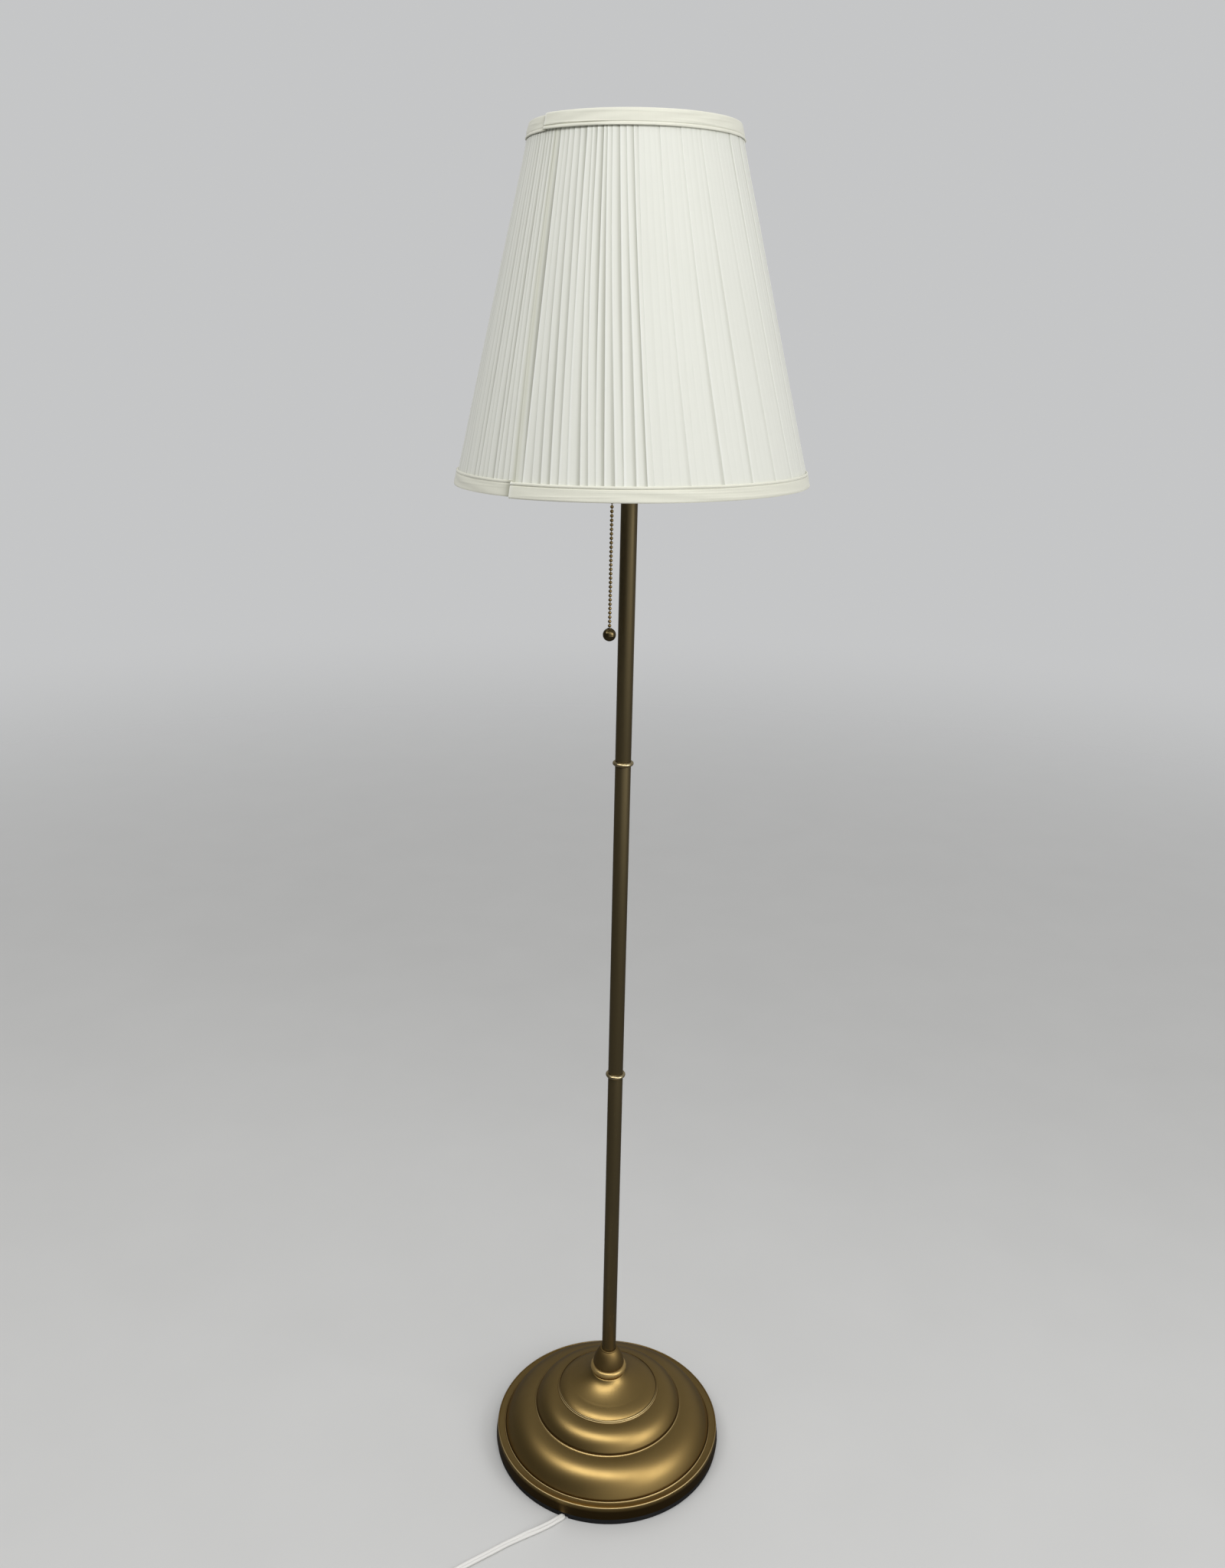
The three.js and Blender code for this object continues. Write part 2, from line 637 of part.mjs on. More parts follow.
const coupling = turned(
  [
    [0, COUPLING_BOTTOM],
    [COUPLING_RADIUS, COUPLING_BOTTOM],
    [COUPLING_RADIUS, COUPLING_TOP - 2],
    [COUPLING_RADIUS - 1, COUPLING_TOP],
    [0, COUPLING_TOP],
  ],
  10,
);
const swivel = turned(
  [
    [0, SWIVEL_BOTTOM],
    [CHAIN_BEAD, SWIVEL_BOTTOM + SWIVEL_HEIGHT / 2],
    [0, SWIVEL_BOTTOM + SWIVEL_HEIGHT],
  ],
  10,
);
const ball = turned(arc(BALL_RADIUS, [0, BALL_HEIGHT], -90, 90, 10).map(onAxis), 16);
add('chain_coupling', atChain(coupling), BRIGHT_BRASS);
add('chain_swivel', atChain(swivel), BRIGHT_BRASS);
add('pull_chain', atChain(beads(CHAIN_TOP, BALL_HEIGHT + BALL_RADIUS + GAP, 6)), BRIGHT_BRASS);
add('chain_ball', atChain(ball), DARK_BRASS);

// Inside the spout the chain runs level, from the lever to the corner.
const stub = beads(STUB_BEADS * CHAIN_PITCH, 0, 6).rotateY(Math.PI / 2);
add('chain_stub', onSpout(stub.translate(LEVER_AT + 1.3, 0, SPOUT_HEIGHT)), BRIGHT_BRASS);

// ---------------------------------------------------------------- shade

// Outside radius of the shade's trim at a height.
function shadeRadius(height) {
  const share = (height - SHADE_BOTTOM) / (SHADE_TOP - SHADE_BOTTOM);
  return THREE.MathUtils.lerp(SHADE_BOTTOM_RADIUS, SHADE_TOP_RADIUS, share);
}

// A wall that follows the shade's slope, between two depths under the trim's outside.
function slopedWall(outerDepth, innerDepth, bottom, top) {
  return turned(
    loop([
      [shadeRadius(bottom) - innerDepth, bottom],
      [shadeRadius(bottom) - outerDepth, bottom],
      [shadeRadius(top) - outerDepth, top],
      [shadeRadius(top) - innerDepth, top],
    ]),
    40,
  );
}

// The shade's layers, as depths under the trim's outside.
const TAPE_THICKNESS = 1.2;
const COVER_INSIDE = 3.5;
const LINER_INSIDE = 4.4;
const TAPE_INSIDE = 4.85;
const TURN_IN = 2.4; // height of the tape's turned-in inside

// A tape folded over the edge of the wall: a broad outside and a narrow turned-in inside.
function makeTrim(edge, broad, narrow) {
  const into = Math.sign(broad - edge);
  const depthAt = (depth, height) => [shadeRadius(height) - depth, height];
  return turned(
    loop([
      depthAt(0, edge),
      depthAt(0, broad),
      depthAt(TAPE_THICKNESS, broad),
      depthAt(TAPE_THICKNESS, edge + into),
      depthAt(LINER_INSIDE + GAP, edge + into),
      depthAt(LINER_INSIDE + GAP, narrow),
      depthAt(TAPE_INSIDE, narrow),
      depthAt(TAPE_INSIDE, edge),
    ]),
    40,
  );
}

const COVER_BOTTOM = SHADE_BOTTOM + 1 + GAP;
const COVER_TOP = SHADE_TOP - 1 - GAP;
add('shade_cover', slopedWall(TAPE_THICKNESS + GAP, COVER_INSIDE, COVER_BOTTOM, COVER_TOP), FABRIC);
add('shade_liner', slopedWall(COVER_INSIDE + GAP, LINER_INSIDE, COVER_BOTTOM, COVER_TOP), FABRIC);
add('trim_bottom', makeTrim(SHADE_BOTTOM, SHADE_BOTTOM + TRIM_HEIGHT, SHADE_BOTTOM + TURN_IN), TRIM);
add('trim_top', makeTrim(SHADE_TOP, SHADE_TOP - TRIM_HEIGHT, SHADE_TOP - TURN_IN), TRIM);

// The wire frame: two rings, four ribs down the wall, and three arms up from the fitter ring.
const BOTTOM_WIRE = SHADE_BOTTOM + 5;
const TOP_WIRE = SHADE_TOP - 5;
const RIB_RADIUS = 1.2;
const ARM_RADIUS = 1.3;
const wireAt = (height) => shadeRadius(height) - WIRE_INSET;
const onWire = (height, angle) =>
  new THREE.Vector3(wireAt(height) * Math.cos(angle), wireAt(height) * Math.sin(angle), height);

// A bar that stops just short of the two places it joins.
function barBetween(start, end, radius, shortStart, shortEnd) {
  const direction = end.clone().sub(start).normalize();
  const from = start.clone().addScaledVector(direction, shortStart);
  const to = end.clone().addScaledVector(direction, -shortEnd);
  return bar(from, to, radius, 8);
}

add('wire_bottom', wireRing(wireAt(BOTTOM_WIRE), BOTTOM_WIRE), STEEL);
add('wire_top', wireRing(wireAt(TOP_WIRE), TOP_WIRE), STEEL);
const shortOfWire = WIRE_RADIUS + 2 * GAP;
for (let i = 0; i < 4; i += 1) {
  const angle = Math.PI / 4 + (i * Math.PI) / 2;
  const [low, high] = [BOTTOM_WIRE, TOP_WIRE].map((height) => onWire(height, angle));
  add(`rib_${i + 1}`, barBetween(low, high, RIB_RADIUS, shortOfWire, shortOfWire), STEEL);
}

const FITTER_INNER = HOLDER_RADIUS + 2 * GAP;
const FITTER_OUTER = 24.5;
const FITTER_TOP = FITTER_HEIGHT + FITTER_THICKNESS;
const ARM_FOOT = FITTER_OUTER + ARM_RADIUS + 0.5; // from the pole's axis
add('fitter_ring', sleeve(FITTER_INNER, FITTER_OUTER, FITTER_HEIGHT, FITTER_TOP, 24), STEEL);
for (let i = 0; i < 3; i += 1) {
  const angle = Math.PI / 2 + (i * 2 * Math.PI) / 3;
  const foot = new THREE.Vector3(ARM_FOOT * Math.cos(angle), ARM_FOOT * Math.sin(angle), 0);
  foot.z = FITTER_HEIGHT + FITTER_THICKNESS / 2;
  add(`arm_${i + 1}`, barBetween(foot, onWire(TOP_WIRE, angle), ARM_RADIUS, 0, shortOfWire), STEEL);
}

// ---------------------------------------------------------------- cord

const floorPoint = ({ x, y }, height) => new THREE.Vector3(x, y, height);
const behindExit = (distance) => CORD_EXIT.clone().addScaledVector(CORD_OUT, -distance);

// Down the pole from the switch body, round under the nut, and level to the gland.
const glandInner = behindExit(GLAND_SETBACK + GLAND_LENGTH + GAP);
const LEAD_HEIGHT = 2.9; // middle of the lead above the floor
const lead = [
  [0, 0, BODY_BOTTOM - GAP], [0, 0, 640], [0, 0, 28], [0, 0, 20], [0, 0, 14],
  [1.2, -0.6, 8.4], [5, -2.6, 4.4], [10.5, -7, 3], [16, -16, LEAD_HEIGHT], [18, -30, LEAD_HEIGHT],
  [12, -48, LEAD_HEIGHT], [1, -66, LEAD_HEIGHT], [-12, -85, LEAD_HEIGHT],
].map(([x, y, z]) => new THREE.Vector3(x, y, z));
lead.push(floorPoint(glandInner, LEAD_HEIGHT));
add('inner_lead', tube(lead, 2 * LEAD_RADIUS, 2 * LEAD_RADIUS, 8, 3), WHITE_VINYL);

// Across the floor from the gland's outer face to the side of the coil.
const cordStart = behindExit(GLAND_SETBACK - 2 * GAP);
const CORD_ROUTE = [
  [-55, -136.4], [-63, -142.8], [-71.5, -148.3], [-80, -153.2], [-89, -157.7], [-97.5, -162.2],
  [-106, -167.1], [-114.5, -172.3], [-130.5, -183.2], [-147, -194.2], [-163, -205.2],
  [-177, -216.4], [-189, -229.5], [-197.5, -244.5], [-202.4, -260.5], [-204.6, -277],
].map(([x, y]) => floorPoint({ x, y }, CORD_HEIGHT));
const cordPoints = [floorPoint(cordStart, CORD_HEIGHT), ...CORD_ROUTE];
add('power_cord', tube(cordPoints, CORD_WIDTH, CORD_THICKNESS, 8, 2), WHITE_VINYL);

const coilInner = COIL_MIDDLE_RADIUS - COIL_WIDTH / 2;
const coilOuter = COIL_MIDDLE_RADIUS + COIL_WIDTH / 2;
const coil = sleeve(coilInner, coilOuter, COIL_BOTTOM, COIL_BOTTOM + COIL_HEIGHT, 32);
add('cord_coil', coil.translate(COIL_CENTRE.x, COIL_CENTRE.y, 0), WHITE_VINYL);

// A narrow tie right round the coil on one side.
const TIE_WIDTH = 5;
const TIE_WALL = 1;
const TIE_TURN = Math.PI / 3;

function makeTie() {
  const [width, height] = [COIL_WIDTH + 2 * GAP, COIL_HEIGHT + 2 * GAP];
  const outer = toManifold(box(width + 2 * TIE_WALL, TIE_WIDTH, height + 2 * TIE_WALL));
  const tie = fromManifold(outer.subtract(toManifold(box(width, TIE_WIDTH + 2, height))));
  tie.translate(COIL_MIDDLE_RADIUS, 0, COIL_BOTTOM + COIL_HEIGHT / 2);
  return tie.rotateZ(TIE_TURN).translate(COIL_CENTRE.x, COIL_CENTRE.y, 0);
}

add('cord_tie', makeTie(), BLACK);

// From the top of the coil down to the plug.
const CORD_TAIL = [
  [-110.4, -331.8, 8], [-103, -333.5, 5.4], [-96, -331.6, 4.4], [-90, -326.6, 4.6],
  [-86, -318.5, 5.6], [-84.2, -309.5, 6.8], [-84, -300.3, 7.3],
];
const tailPoints = CORD_TAIL.map(([x, y, z]) => new THREE.Vector3(x, y, z));
add('cord_tail', tube(tailPoints, CORD_WIDTH, CORD_THICKNESS, 8, 3), WHITE_VINYL);

// ---------------------------------------------------------------- plug

// A tapered body between two rounded rectangles, pointing to +Y.
function makePlugBody() {
  const stations = [[0, 0.42, 0.5], [0.3, 0.5, 0.62], [0.45, 0.92, 0.94], [0.9, 1, 1], [1, 0.94, 0.94]];
  const sides = 16;
  const positions = [];
  const faces = [];
  for (const [along, wide, thick] of stations) {
    for (let i = 0; i < sides; i += 1) {
      const angle = (2 * Math.PI * (i + 0.5)) / sides;
      const squared = (value) => Math.sign(value) * Math.abs(value) ** 0.5;
      const x = (PLUG_WIDTH / 2) * wide * squared(Math.cos(angle));
      const z = (PLUG_THICKNESS / 2) * thick * squared(Math.sin(angle));
      positions.push(x, along * PLUG_LENGTH, z);
    }
  }
  for (let ring = 0; ring + 1 < stations.length; ring += 1) {
    for (let i = 0; i < sides; i += 1) {
      const next = (i + 1) % sides;
      const [a, b] = [ring * sides + i, ring * sides + next];
      faces.push(a, b, b + sides, a, b + sides, a + sides);
    }
  }
  for (let i = 1; i + 1 < sides; i += 1) {
    const last = (stations.length - 1) * sides;
    faces.push(0, i + 1, i, last, last + i, last + i + 1);
  }
  const geometry = new THREE.BufferGeometry();
  geometry.setAttribute('position', new THREE.Float32BufferAttribute(positions, 3));
  geometry.setIndex(faces);
  return closedSolid(geometry);
}

const PLUG_HEIGHT = PLUG_THICKNESS / 2 + GAP;
const BLADE_LENGTH = 16;
const BLADE_WIDTH = 6.4;
const BLADE_THICKNESS = 1.5;
const BLADE_SPACING = 12.7;
add('plug_body', makePlugBody().translate(PLUG_AT.x, PLUG_AT.y, PLUG_HEIGHT), WHITE_VINYL);
['line', 'neutral'].forEach((name, i) => {
  const x = PLUG_AT.x + (i - 0.5) * BLADE_SPACING;
  const y = PLUG_AT.y + PLUG_LENGTH + GAP + BLADE_LENGTH / 2;
  const blade = box(BLADE_THICKNESS, BLADE_LENGTH, BLADE_WIDTH).translate(x, y, PLUG_HEIGHT);
  add(`plug_blade_${name}`, blade, BRIGHT_BRASS);
});

export default lamp;
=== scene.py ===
# %% [markdown]
# # A floor lamp with a pleated shade
#
# This lesson finishes a floor lamp whose parts were already drawn, to size, in another program.
# Their solids are plain and faceted, and they are right about where everything is. Blender's
# work here is the surface: turned brass, pleated cloth, a bead chain and a flat white cord.

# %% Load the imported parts
import math

import bmesh
import bpy
import numpy as np
from mathutils import Matrix, Vector


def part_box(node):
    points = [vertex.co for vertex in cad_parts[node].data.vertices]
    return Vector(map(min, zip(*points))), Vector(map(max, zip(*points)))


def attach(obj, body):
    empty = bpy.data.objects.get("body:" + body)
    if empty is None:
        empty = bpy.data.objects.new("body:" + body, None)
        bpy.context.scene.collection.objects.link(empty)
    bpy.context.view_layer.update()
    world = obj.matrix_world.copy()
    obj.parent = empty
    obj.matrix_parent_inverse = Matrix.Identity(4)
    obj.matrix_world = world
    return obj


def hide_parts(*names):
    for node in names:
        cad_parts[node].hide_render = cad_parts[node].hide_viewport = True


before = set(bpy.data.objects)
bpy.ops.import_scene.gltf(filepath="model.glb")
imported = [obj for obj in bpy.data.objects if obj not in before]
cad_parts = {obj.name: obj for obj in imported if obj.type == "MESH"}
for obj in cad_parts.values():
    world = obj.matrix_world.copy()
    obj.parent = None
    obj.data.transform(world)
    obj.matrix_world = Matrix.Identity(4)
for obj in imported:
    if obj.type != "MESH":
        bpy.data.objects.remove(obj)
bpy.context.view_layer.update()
MM = 0.001


# %% Read sizes from the parts
def bottom(node):
    """Height of the node's lowest point."""
    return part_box(node)[0].z


def top(node):
    """Height of the node's highest point."""
    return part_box(node)[1].z


def radius_of(node):
    """Outside radius of a round node: half of its box's width."""
    low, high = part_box(node)
    return (high.x - low.x) / 2


def middle(node):
    """The centre of the node's box."""
    low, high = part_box(node)
    return (low + high) / 2


def span(node):
    """A round node's lowest and highest point and its outside radius, in millimetres."""
    return bottom(node) / MM, top(node) / MM, radius_of(node) / MM


BASE_RADIUS = radius_of("base_shell")
print("base radius", round(BASE_RADIUS, 4), "height", round(top("trim_top"), 4))

# %% [markdown]
# ## The camera
#
# The lamp is seen from standing height, a little over a metre in front of it, looking down by
# about eighteen degrees. The camera's axes are worked out from a yaw, a pitch and a roll and
# written straight into its matrix, because a small roll is awkward to reach with constraints.

# %% Place the camera
EYE = Vector((0, -1.341, 1.322))
YAW, PITCH, ROLL = (math.radians(angle) for angle in (0.46, -18.5, 1.25))
FOCAL_LENGTH, SENSOR = 30.39, 36.0  # the sensor's long side, which is the tall one here


def make_camera():
    """The view axis comes from yaw and pitch, the right axis is level, and both then roll."""
    level = Vector((math.cos(YAW), math.sin(YAW), 0))
    forward = Vector((-math.sin(YAW), math.cos(YAW), 0))
    ahead = forward * math.cos(PITCH) + Vector((0, 0, math.sin(PITCH)))
    upright = level.cross(ahead)
    right = level * math.cos(ROLL) + upright * math.sin(ROLL)
    up = upright * math.cos(ROLL) - level * math.sin(ROLL)
    camera = bpy.data.objects.new("camera", bpy.data.cameras.new("camera"))
    camera.data.lens, camera.data.sensor_width = FOCAL_LENGTH, SENSOR
    axes = Matrix((right, up, -ahead)).transposed()
    camera.matrix_world = Matrix.Translation(EYE) @ axes.to_4x4()
    bpy.context.scene.collection.objects.link(camera)
    bpy.context.scene.camera = camera


make_camera()

# %% [markdown]
# ## Surfaces from numpy
#
# Nearly every piece of a lamp is turned on a lathe or drawn out along a line, so two functions
# make most of them: one turns an outline about the pole's axis, the other carries a section
# along a path. Both give a grid of points, and the same few lines join neighbours into quads.
# A grid that closes repeats its first line, and the copies are merged once the mesh exists.


# %% Join a grid into quads
def grid_faces(rows, columns):
    """Quads between neighbouring points of a grid, point number = row * columns + column."""
    row, column = np.meshgrid(np.arange(rows - 1), np.arange(columns - 1), indexing="ij")
    first = (row * columns + column).ravel()
    return np.stack([first, first + 1, first + columns + 1, first + columns], 1)


def sheet_of(points, uv=None):
    """A shape is its points, its quads and its UVs. This one joins a (rows, columns, 3) grid."""
    rows, columns = points.shape[:2]
    flat_uv = np.zeros((rows * columns, 2)) if uv is None else uv.reshape(-1, 2)
    return points.reshape(-1, 3), grid_faces(rows, columns), flat_uv


def joined(shapes):
    """Several shapes as one: quads count on from the points of the shapes before."""
    counts = np.cumsum([0] + [len(points) for points, _, _ in shapes[:-1]])
    points = np.concatenate([shape[0] for shape in shapes])
    faces = np.concatenate([shape[1] + start for shape, start in zip(shapes, counts)])
    return points, faces, np.concatenate([shape[2] for shape in shapes])


def repeated(shape, places):
    """Copies of a small shape, moved to each of the places, by adding whole arrays."""
    points, faces, uv = shape
    moved = (places[:, None, :] + points[None, :, :]).reshape(-1, 3)
    starts = np.arange(len(places))[:, None, None] * len(points)
    return moved, (faces[None] + starts).reshape(-1, 4), np.tile(uv, (len(places), 1))


# %% Put a shape into a mesh object
def enclosed_volume(points, faces):
    """Sum of the tetrahedra from the origin to each triangle: positive if faces point out."""
    a, b, c, d = (points[faces[:, corner]] for corner in range(4))
    one = np.einsum("ij,ij->i", a, np.cross(b, c))
    other = np.einsum("ij,ij->i", a, np.cross(c, d))
    return (one.sum() + other.sum()) / 6


MERGE_WITHIN = 2e-7


def make_piece(name, shape, finish, body="lamp", stands_for=(), crease=38, marks=None):
    """A closed mesh with faces out, smooth up to `crease` degrees, riding on a body. `marks` are
    numbers for each point that a finish can read by name."""
    points, faces, uv = shape
    if enclosed_volume(points, faces) < 0:
        faces = faces[:, ::-1]
    faces = np.ascontiguousarray(faces, np.int32)
    mesh = bpy.data.meshes.new(name)
    mesh.vertices.add(len(points))
    mesh.vertices.foreach_set("co", np.ascontiguousarray(points, np.float32).ravel())
    mesh.loops.add(faces.size)
    mesh.loops.foreach_set("vertex_index", faces.ravel())
    mesh.polygons.add(len(faces))
    mesh.polygons.foreach_set("loop_start", np.arange(0, faces.size, 4, dtype=np.int32))
    mesh.update(calc_edges=True)
    layer = mesh.uv_layers.new(name="UVMap")
    layer.data.foreach_set("uv", uv[faces.ravel()].astype(np.float32).ravel())
    for mark, numbers in (marks or {}).items():
        attribute = mesh.attributes.new(mark, "FLOAT", "POINT")
        attribute.data.foreach_set("value", numbers.astype(np.float32).ravel())
    merge_copies(mesh)
    mesh.polygons.foreach_set("use_smooth", np.ones(len(mesh.polygons), bool))
    mesh.set_sharp_from_angle(angle=math.radians(crease))
    piece = bpy.data.objects.new(name, mesh)
    bpy.context.scene.collection.objects.link(piece)
    mesh.materials.append(finish)
    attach(piece, body)
    if stands_for:
        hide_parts(*stands_for)
    print(f"{name}: {len(mesh.polygons)} faces")
    return piece


def merge_copies(mesh):
    """Merge the repeated points along seams and at poles."""
    work = bmesh.new()
    work.from_mesh(mesh)
    bmesh.ops.remove_doubles(work, verts=work.verts, dist=MERGE_WITHIN)
    work.to_mesh(mesh)
    work.free()


# %% Outlines and turning
def run_of(path):
    """Distance along a path or an outline at each of its points."""
    return np.concatenate([[0], np.cumsum(np.linalg.norm(np.diff(path, axis=0), axis=1))])


def bend(start, towards, end, steps):
    """Quadratic curve: (1-t)^2 start + 2t(1-t) towards + t^2 end."""
    t = np.linspace(0, 1, steps + 1)[:, None]
    a, b, c = (np.array(point, float) for point in (start, towards, end))
    return (1 - t) ** 2 * a + 2 * t * (1 - t) * b + t**2 * c


def arc(radius, centre, first, last, steps):
    """Points at `radius` round a centre, between two angles in degrees from outwards."""
    angle = np.radians(np.linspace(first, last, steps + 1))
    return np.stack([centre[0] + radius * np.cos(angle), centre[1] + radius * np.sin(angle)], 1)


def line(*points):
    """Straight stretches of an outline."""
    return np.array(points, float)


def eased(outline, rounding, steps=3):
    """Round each corner of a closed outline with a quadratic curve that starts and ends
    `rounding` away from it, or at 40% of a shorter side."""
    before = np.roll(outline, 1, 0) - outline
    after = np.roll(outline, -1, 0) - outline
    length_before = np.linalg.norm(before, axis=1)[:, None]
    length_after = np.linalg.norm(after, axis=1)[:, None]
    start = outline + before / length_before * np.minimum(rounding, 0.4 * length_before)
    end = outline + after / length_after * np.minimum(rounding, 0.4 * length_after)
    t = np.linspace(0, 1, steps + 1)[None, :, None]
    curve = (1 - t) ** 2 * start[:, None] + 2 * t * (1 - t) * outline[:, None] + t**2 * end[:, None]
    return curve.reshape(-1, 2)


def turned(outline, sides, closed=True, centre=(0, 0)):
    """Turn an outline of (radius, height), in millimetres, about a vertical axis:
    x = r cos a, y = r sin a. The UV is the arc at the widest radius, and the outline's length."""
    if closed:
        outline = np.concatenate([outline, outline[:1]])
    angle = np.linspace(0, 2 * np.pi, sides + 1)[None, :]
    r, z = outline[:, :1] * MM, outline[:, 1:] * MM
    points = np.stack([r * np.cos(angle) + centre[0], r * np.sin(angle) + centre[1],
                       z + 0 * angle], -1)
    run = run_of(outline)[:, None] * MM
    uv = np.stack([angle * r.max() + 0 * r, run + 0 * angle], -1)
    return sheet_of(points, uv)


# %% A section carried along a path
def smooth_path(points, steps):
    """Catmull-Rom curve through the points: each span mixes its four nearest points."""
    p = np.array(points, float)
    p = np.concatenate([2 * p[:1] - p[1:2], p, 2 * p[-1:] - p[-2:-1]])
    t = (np.arange(steps) / steps)[None, :, None]
    a, b, c, d = (p[i:len(p) - 3 + i, None, :] for i in range(4))
    curve = 0.5 * (2 * b + (c - a) * t + (2 * a - 5 * b + 4 * c - d) * t**2
                   + (3 * b - a - 3 * c + d) * t**3)
    return np.concatenate([curve.reshape(-1, 3), p[-2:-1]])


def evenly(path, spacing):
    """The same path with its points the same distance apart."""
    run = run_of(path)
    wanted = np.linspace(0, run[-1], max(2, int(round(run[-1] / spacing))) + 1)
    return np.stack([np.interp(wanted, run, path[:, axis]) for axis in range(3)], 1)


def swept(path, section, twist=0.0, sizes=1.0):
    """Carry a closed section of (across, up) points along a path that is never upright.
    Across is level and square to the path, up is square to both, and twist turns the section."""
    along = np.gradient(path, axis=0)
    along /= np.linalg.norm(along, axis=1)[:, None]
    across = np.cross(along, [0, 0, 1.0])
    across /= np.linalg.norm(across, axis=1)[:, None]
    up = np.cross(across, along)
    twist = np.broadcast_to(twist, len(path))[:, None]
    sizes = np.broadcast_to(sizes, len(path))[:, None, None]
    wide = across * np.cos(twist) + up * np.sin(twist)
    tall = up * np.cos(twist) - across * np.sin(twist)
    ring = np.concatenate([section, section[:1]])
    offset = ring[None, :, :1] * wide[:, None] + ring[None, :, 1:] * tall[:, None]
    points = path[:, None] + sizes * offset
    uv = np.stack(np.broadcast_arrays(run_of(ring)[None, :], run_of(path)[:, None]), -1)
    return sheet_of(points, uv)


def circle(radius, sides):
    """A round section."""
    angle = 2 * np.pi * np.arange(sides) / sides
    return radius * np.stack([np.cos(angle), np.sin(angle)], 1)


def rod(path, radius, sides=12):
    """A round bar along a path, with domed ends: the last sections shrink as a quarter circle."""
    path = np.array(path, float)
    ends = np.array([0.0, 0.5, 0.85])
    reach = radius * (1 - np.sqrt(1 - (1 - ends) ** 2))
    first, last = path[1] - path[0], path[-1] - path[-2]
    head = path[0] + reach[:, None] * first / np.linalg.norm(first)
    tail = path[-1] - reach[::-1, None] * last / np.linalg.norm(last)
    body = path[1:-1]
    size = np.concatenate([np.sqrt(1 - (1 - ends) ** 2), np.ones(len(body)),
                           np.sqrt(1 - (1 - ends[::-1]) ** 2)])
    return swept(np.concatenate([head, body, tail]), circle(radius, sides), 0.0, size)


# %% [markdown]
# ## Shader sums written as Python
#
# A procedural finish is a chain of nodes. Written by hand it is hard to read, so a socket is
# wrapped in a class whose operators add Math nodes: `1 - mask * 0.4` is then a sentence. Every
# other node comes from one method that takes its type, its settings and what fills its sockets.


# %% Sockets with operators
class Value:
    """A socket on which Python's operators add Math nodes."""

    def __init__(self, finish, socket):
        self.finish, self.socket = finish, socket

    def math(self, operation, *numbers):
        return self.finish.node("Math", {"operation": operation}, numbers)

    def __add__(self, other):
        return self.math("ADD", self, other)

    def __sub__(self, other):
        return self.math("SUBTRACT", self, other)

    def __rsub__(self, other):
        return self.math("SUBTRACT", other, self)

    def __mul__(self, other):
        return self.math("MULTIPLY", self, other)

    def __truediv__(self, other):
        return self.math("DIVIDE", self, other)

    def __pow__(self, other):
        return self.math("POWER", self, other)

    __radd__, __rmul__ = __add__, __mul__

    def sine(self):
        return self.math("SINE", self)

    def size(self):
        return self.math("ABSOLUTE", self)

    def at_most(self, limit):
        return self.math("MINIMUM", self, limit)

    def step_between(self, low, high):
        """0 below low, 1 above high, and a smooth rise between them."""
        settings = {"interpolation_type": "SMOOTHSTEP"}
        return self.finish.node("MapRange", settings, (self, low, high, 0.0, 1.0))


class Nodes:
    """The nodes of a material or of the world, and short ways to add the common ones."""

    def __init__(self, tree):
        self.tree = tree

    def node(self, kind, settings=None, values=(), result=0):
        """Add a node, make its settings, fill its sockets in order or by key, give a result."""
        node = self.tree.nodes.new("ShaderNode" + kind)
        for key, value in (settings or {}).items():
            setattr(node, key, value)
        filled = values.items() if isinstance(values, dict) else enumerate(values)
        for key, value in filled:
            self.fill(node.inputs[key], value)
        return Value(self, node.outputs[result])

    def fill(self, socket, value):
        if isinstance(value, Value):
            self.tree.links.new(value.socket, socket)
        else:
            socket.default_value = value

    def place(self):
        """Where a point is on the object, in metres."""
        return self.node("TexCoord", result="Object")

    def cloth(self):
        """The piece's own UV, in metres."""
        return self.node("UVMap", {"uv_map": "UVMap"})

    def parts(self, vector):
        """The x, y and z of a vector."""
        split = self.node("SeparateXYZ", values=(vector,))
        outputs = split.socket.node.outputs
        return [Value(self, socket) for socket in outputs]

    def stretched(self, vector, *scale):
        return self.node("VectorMath", {"operation": "MULTIPLY"}, (vector, scale))

    def noise(self, vector, scale, detail=3.0, roughness=0.5):
        """Soft noise from 0 to 1, with features about 1/scale across."""
        values = {"Vector": vector, "Scale": scale, "Detail": detail, "Roughness": roughness}
        return self.node("TexNoise", values=values)

    def mixed(self, share, first, second):
        """A colour between two colours."""
        return self.node("Mix", {"data_type": "RGBA"}, {0: share, 6: first, 7: second}, 2)

    def bump(self, height, distance, strength=1.0):
        """A normal from a height between 0 and 1 that stands for `distance` metres."""
        values = {"Height": height, "Distance": distance, "Strength": strength}
        return self.node("Bump", values=values)

    def from_axis(self):
        """Distance from the pole's axis, height, and both as a vector: rings round the lamp."""
        x, y, z = self.parts(self.place())
        radius = (x * x + y * y) ** 0.5
        return radius, z, self.node("CombineXYZ", values=(radius, z, 0.0))


class Finish(Nodes):
    """A material: one Principled shader, and the nodes that feed it."""

    def __init__(self, name, **constants):
        self.material = bpy.data.materials.new(name)
        self.material.use_nodes = True
        super().__init__(self.material.node_tree)
        self.shader = self.tree.nodes["Principled BSDF"]
        self.feed(**constants)

    def feed(self, **sockets):
        """Fill the shader's sockets: base_color fills Base Color, and so on."""
        names = {"ior": "IOR"}
        for key, value in sockets.items():
            self.fill(self.shader.inputs[names.get(key, key.replace("_", " ").title())], value)
        return self.material


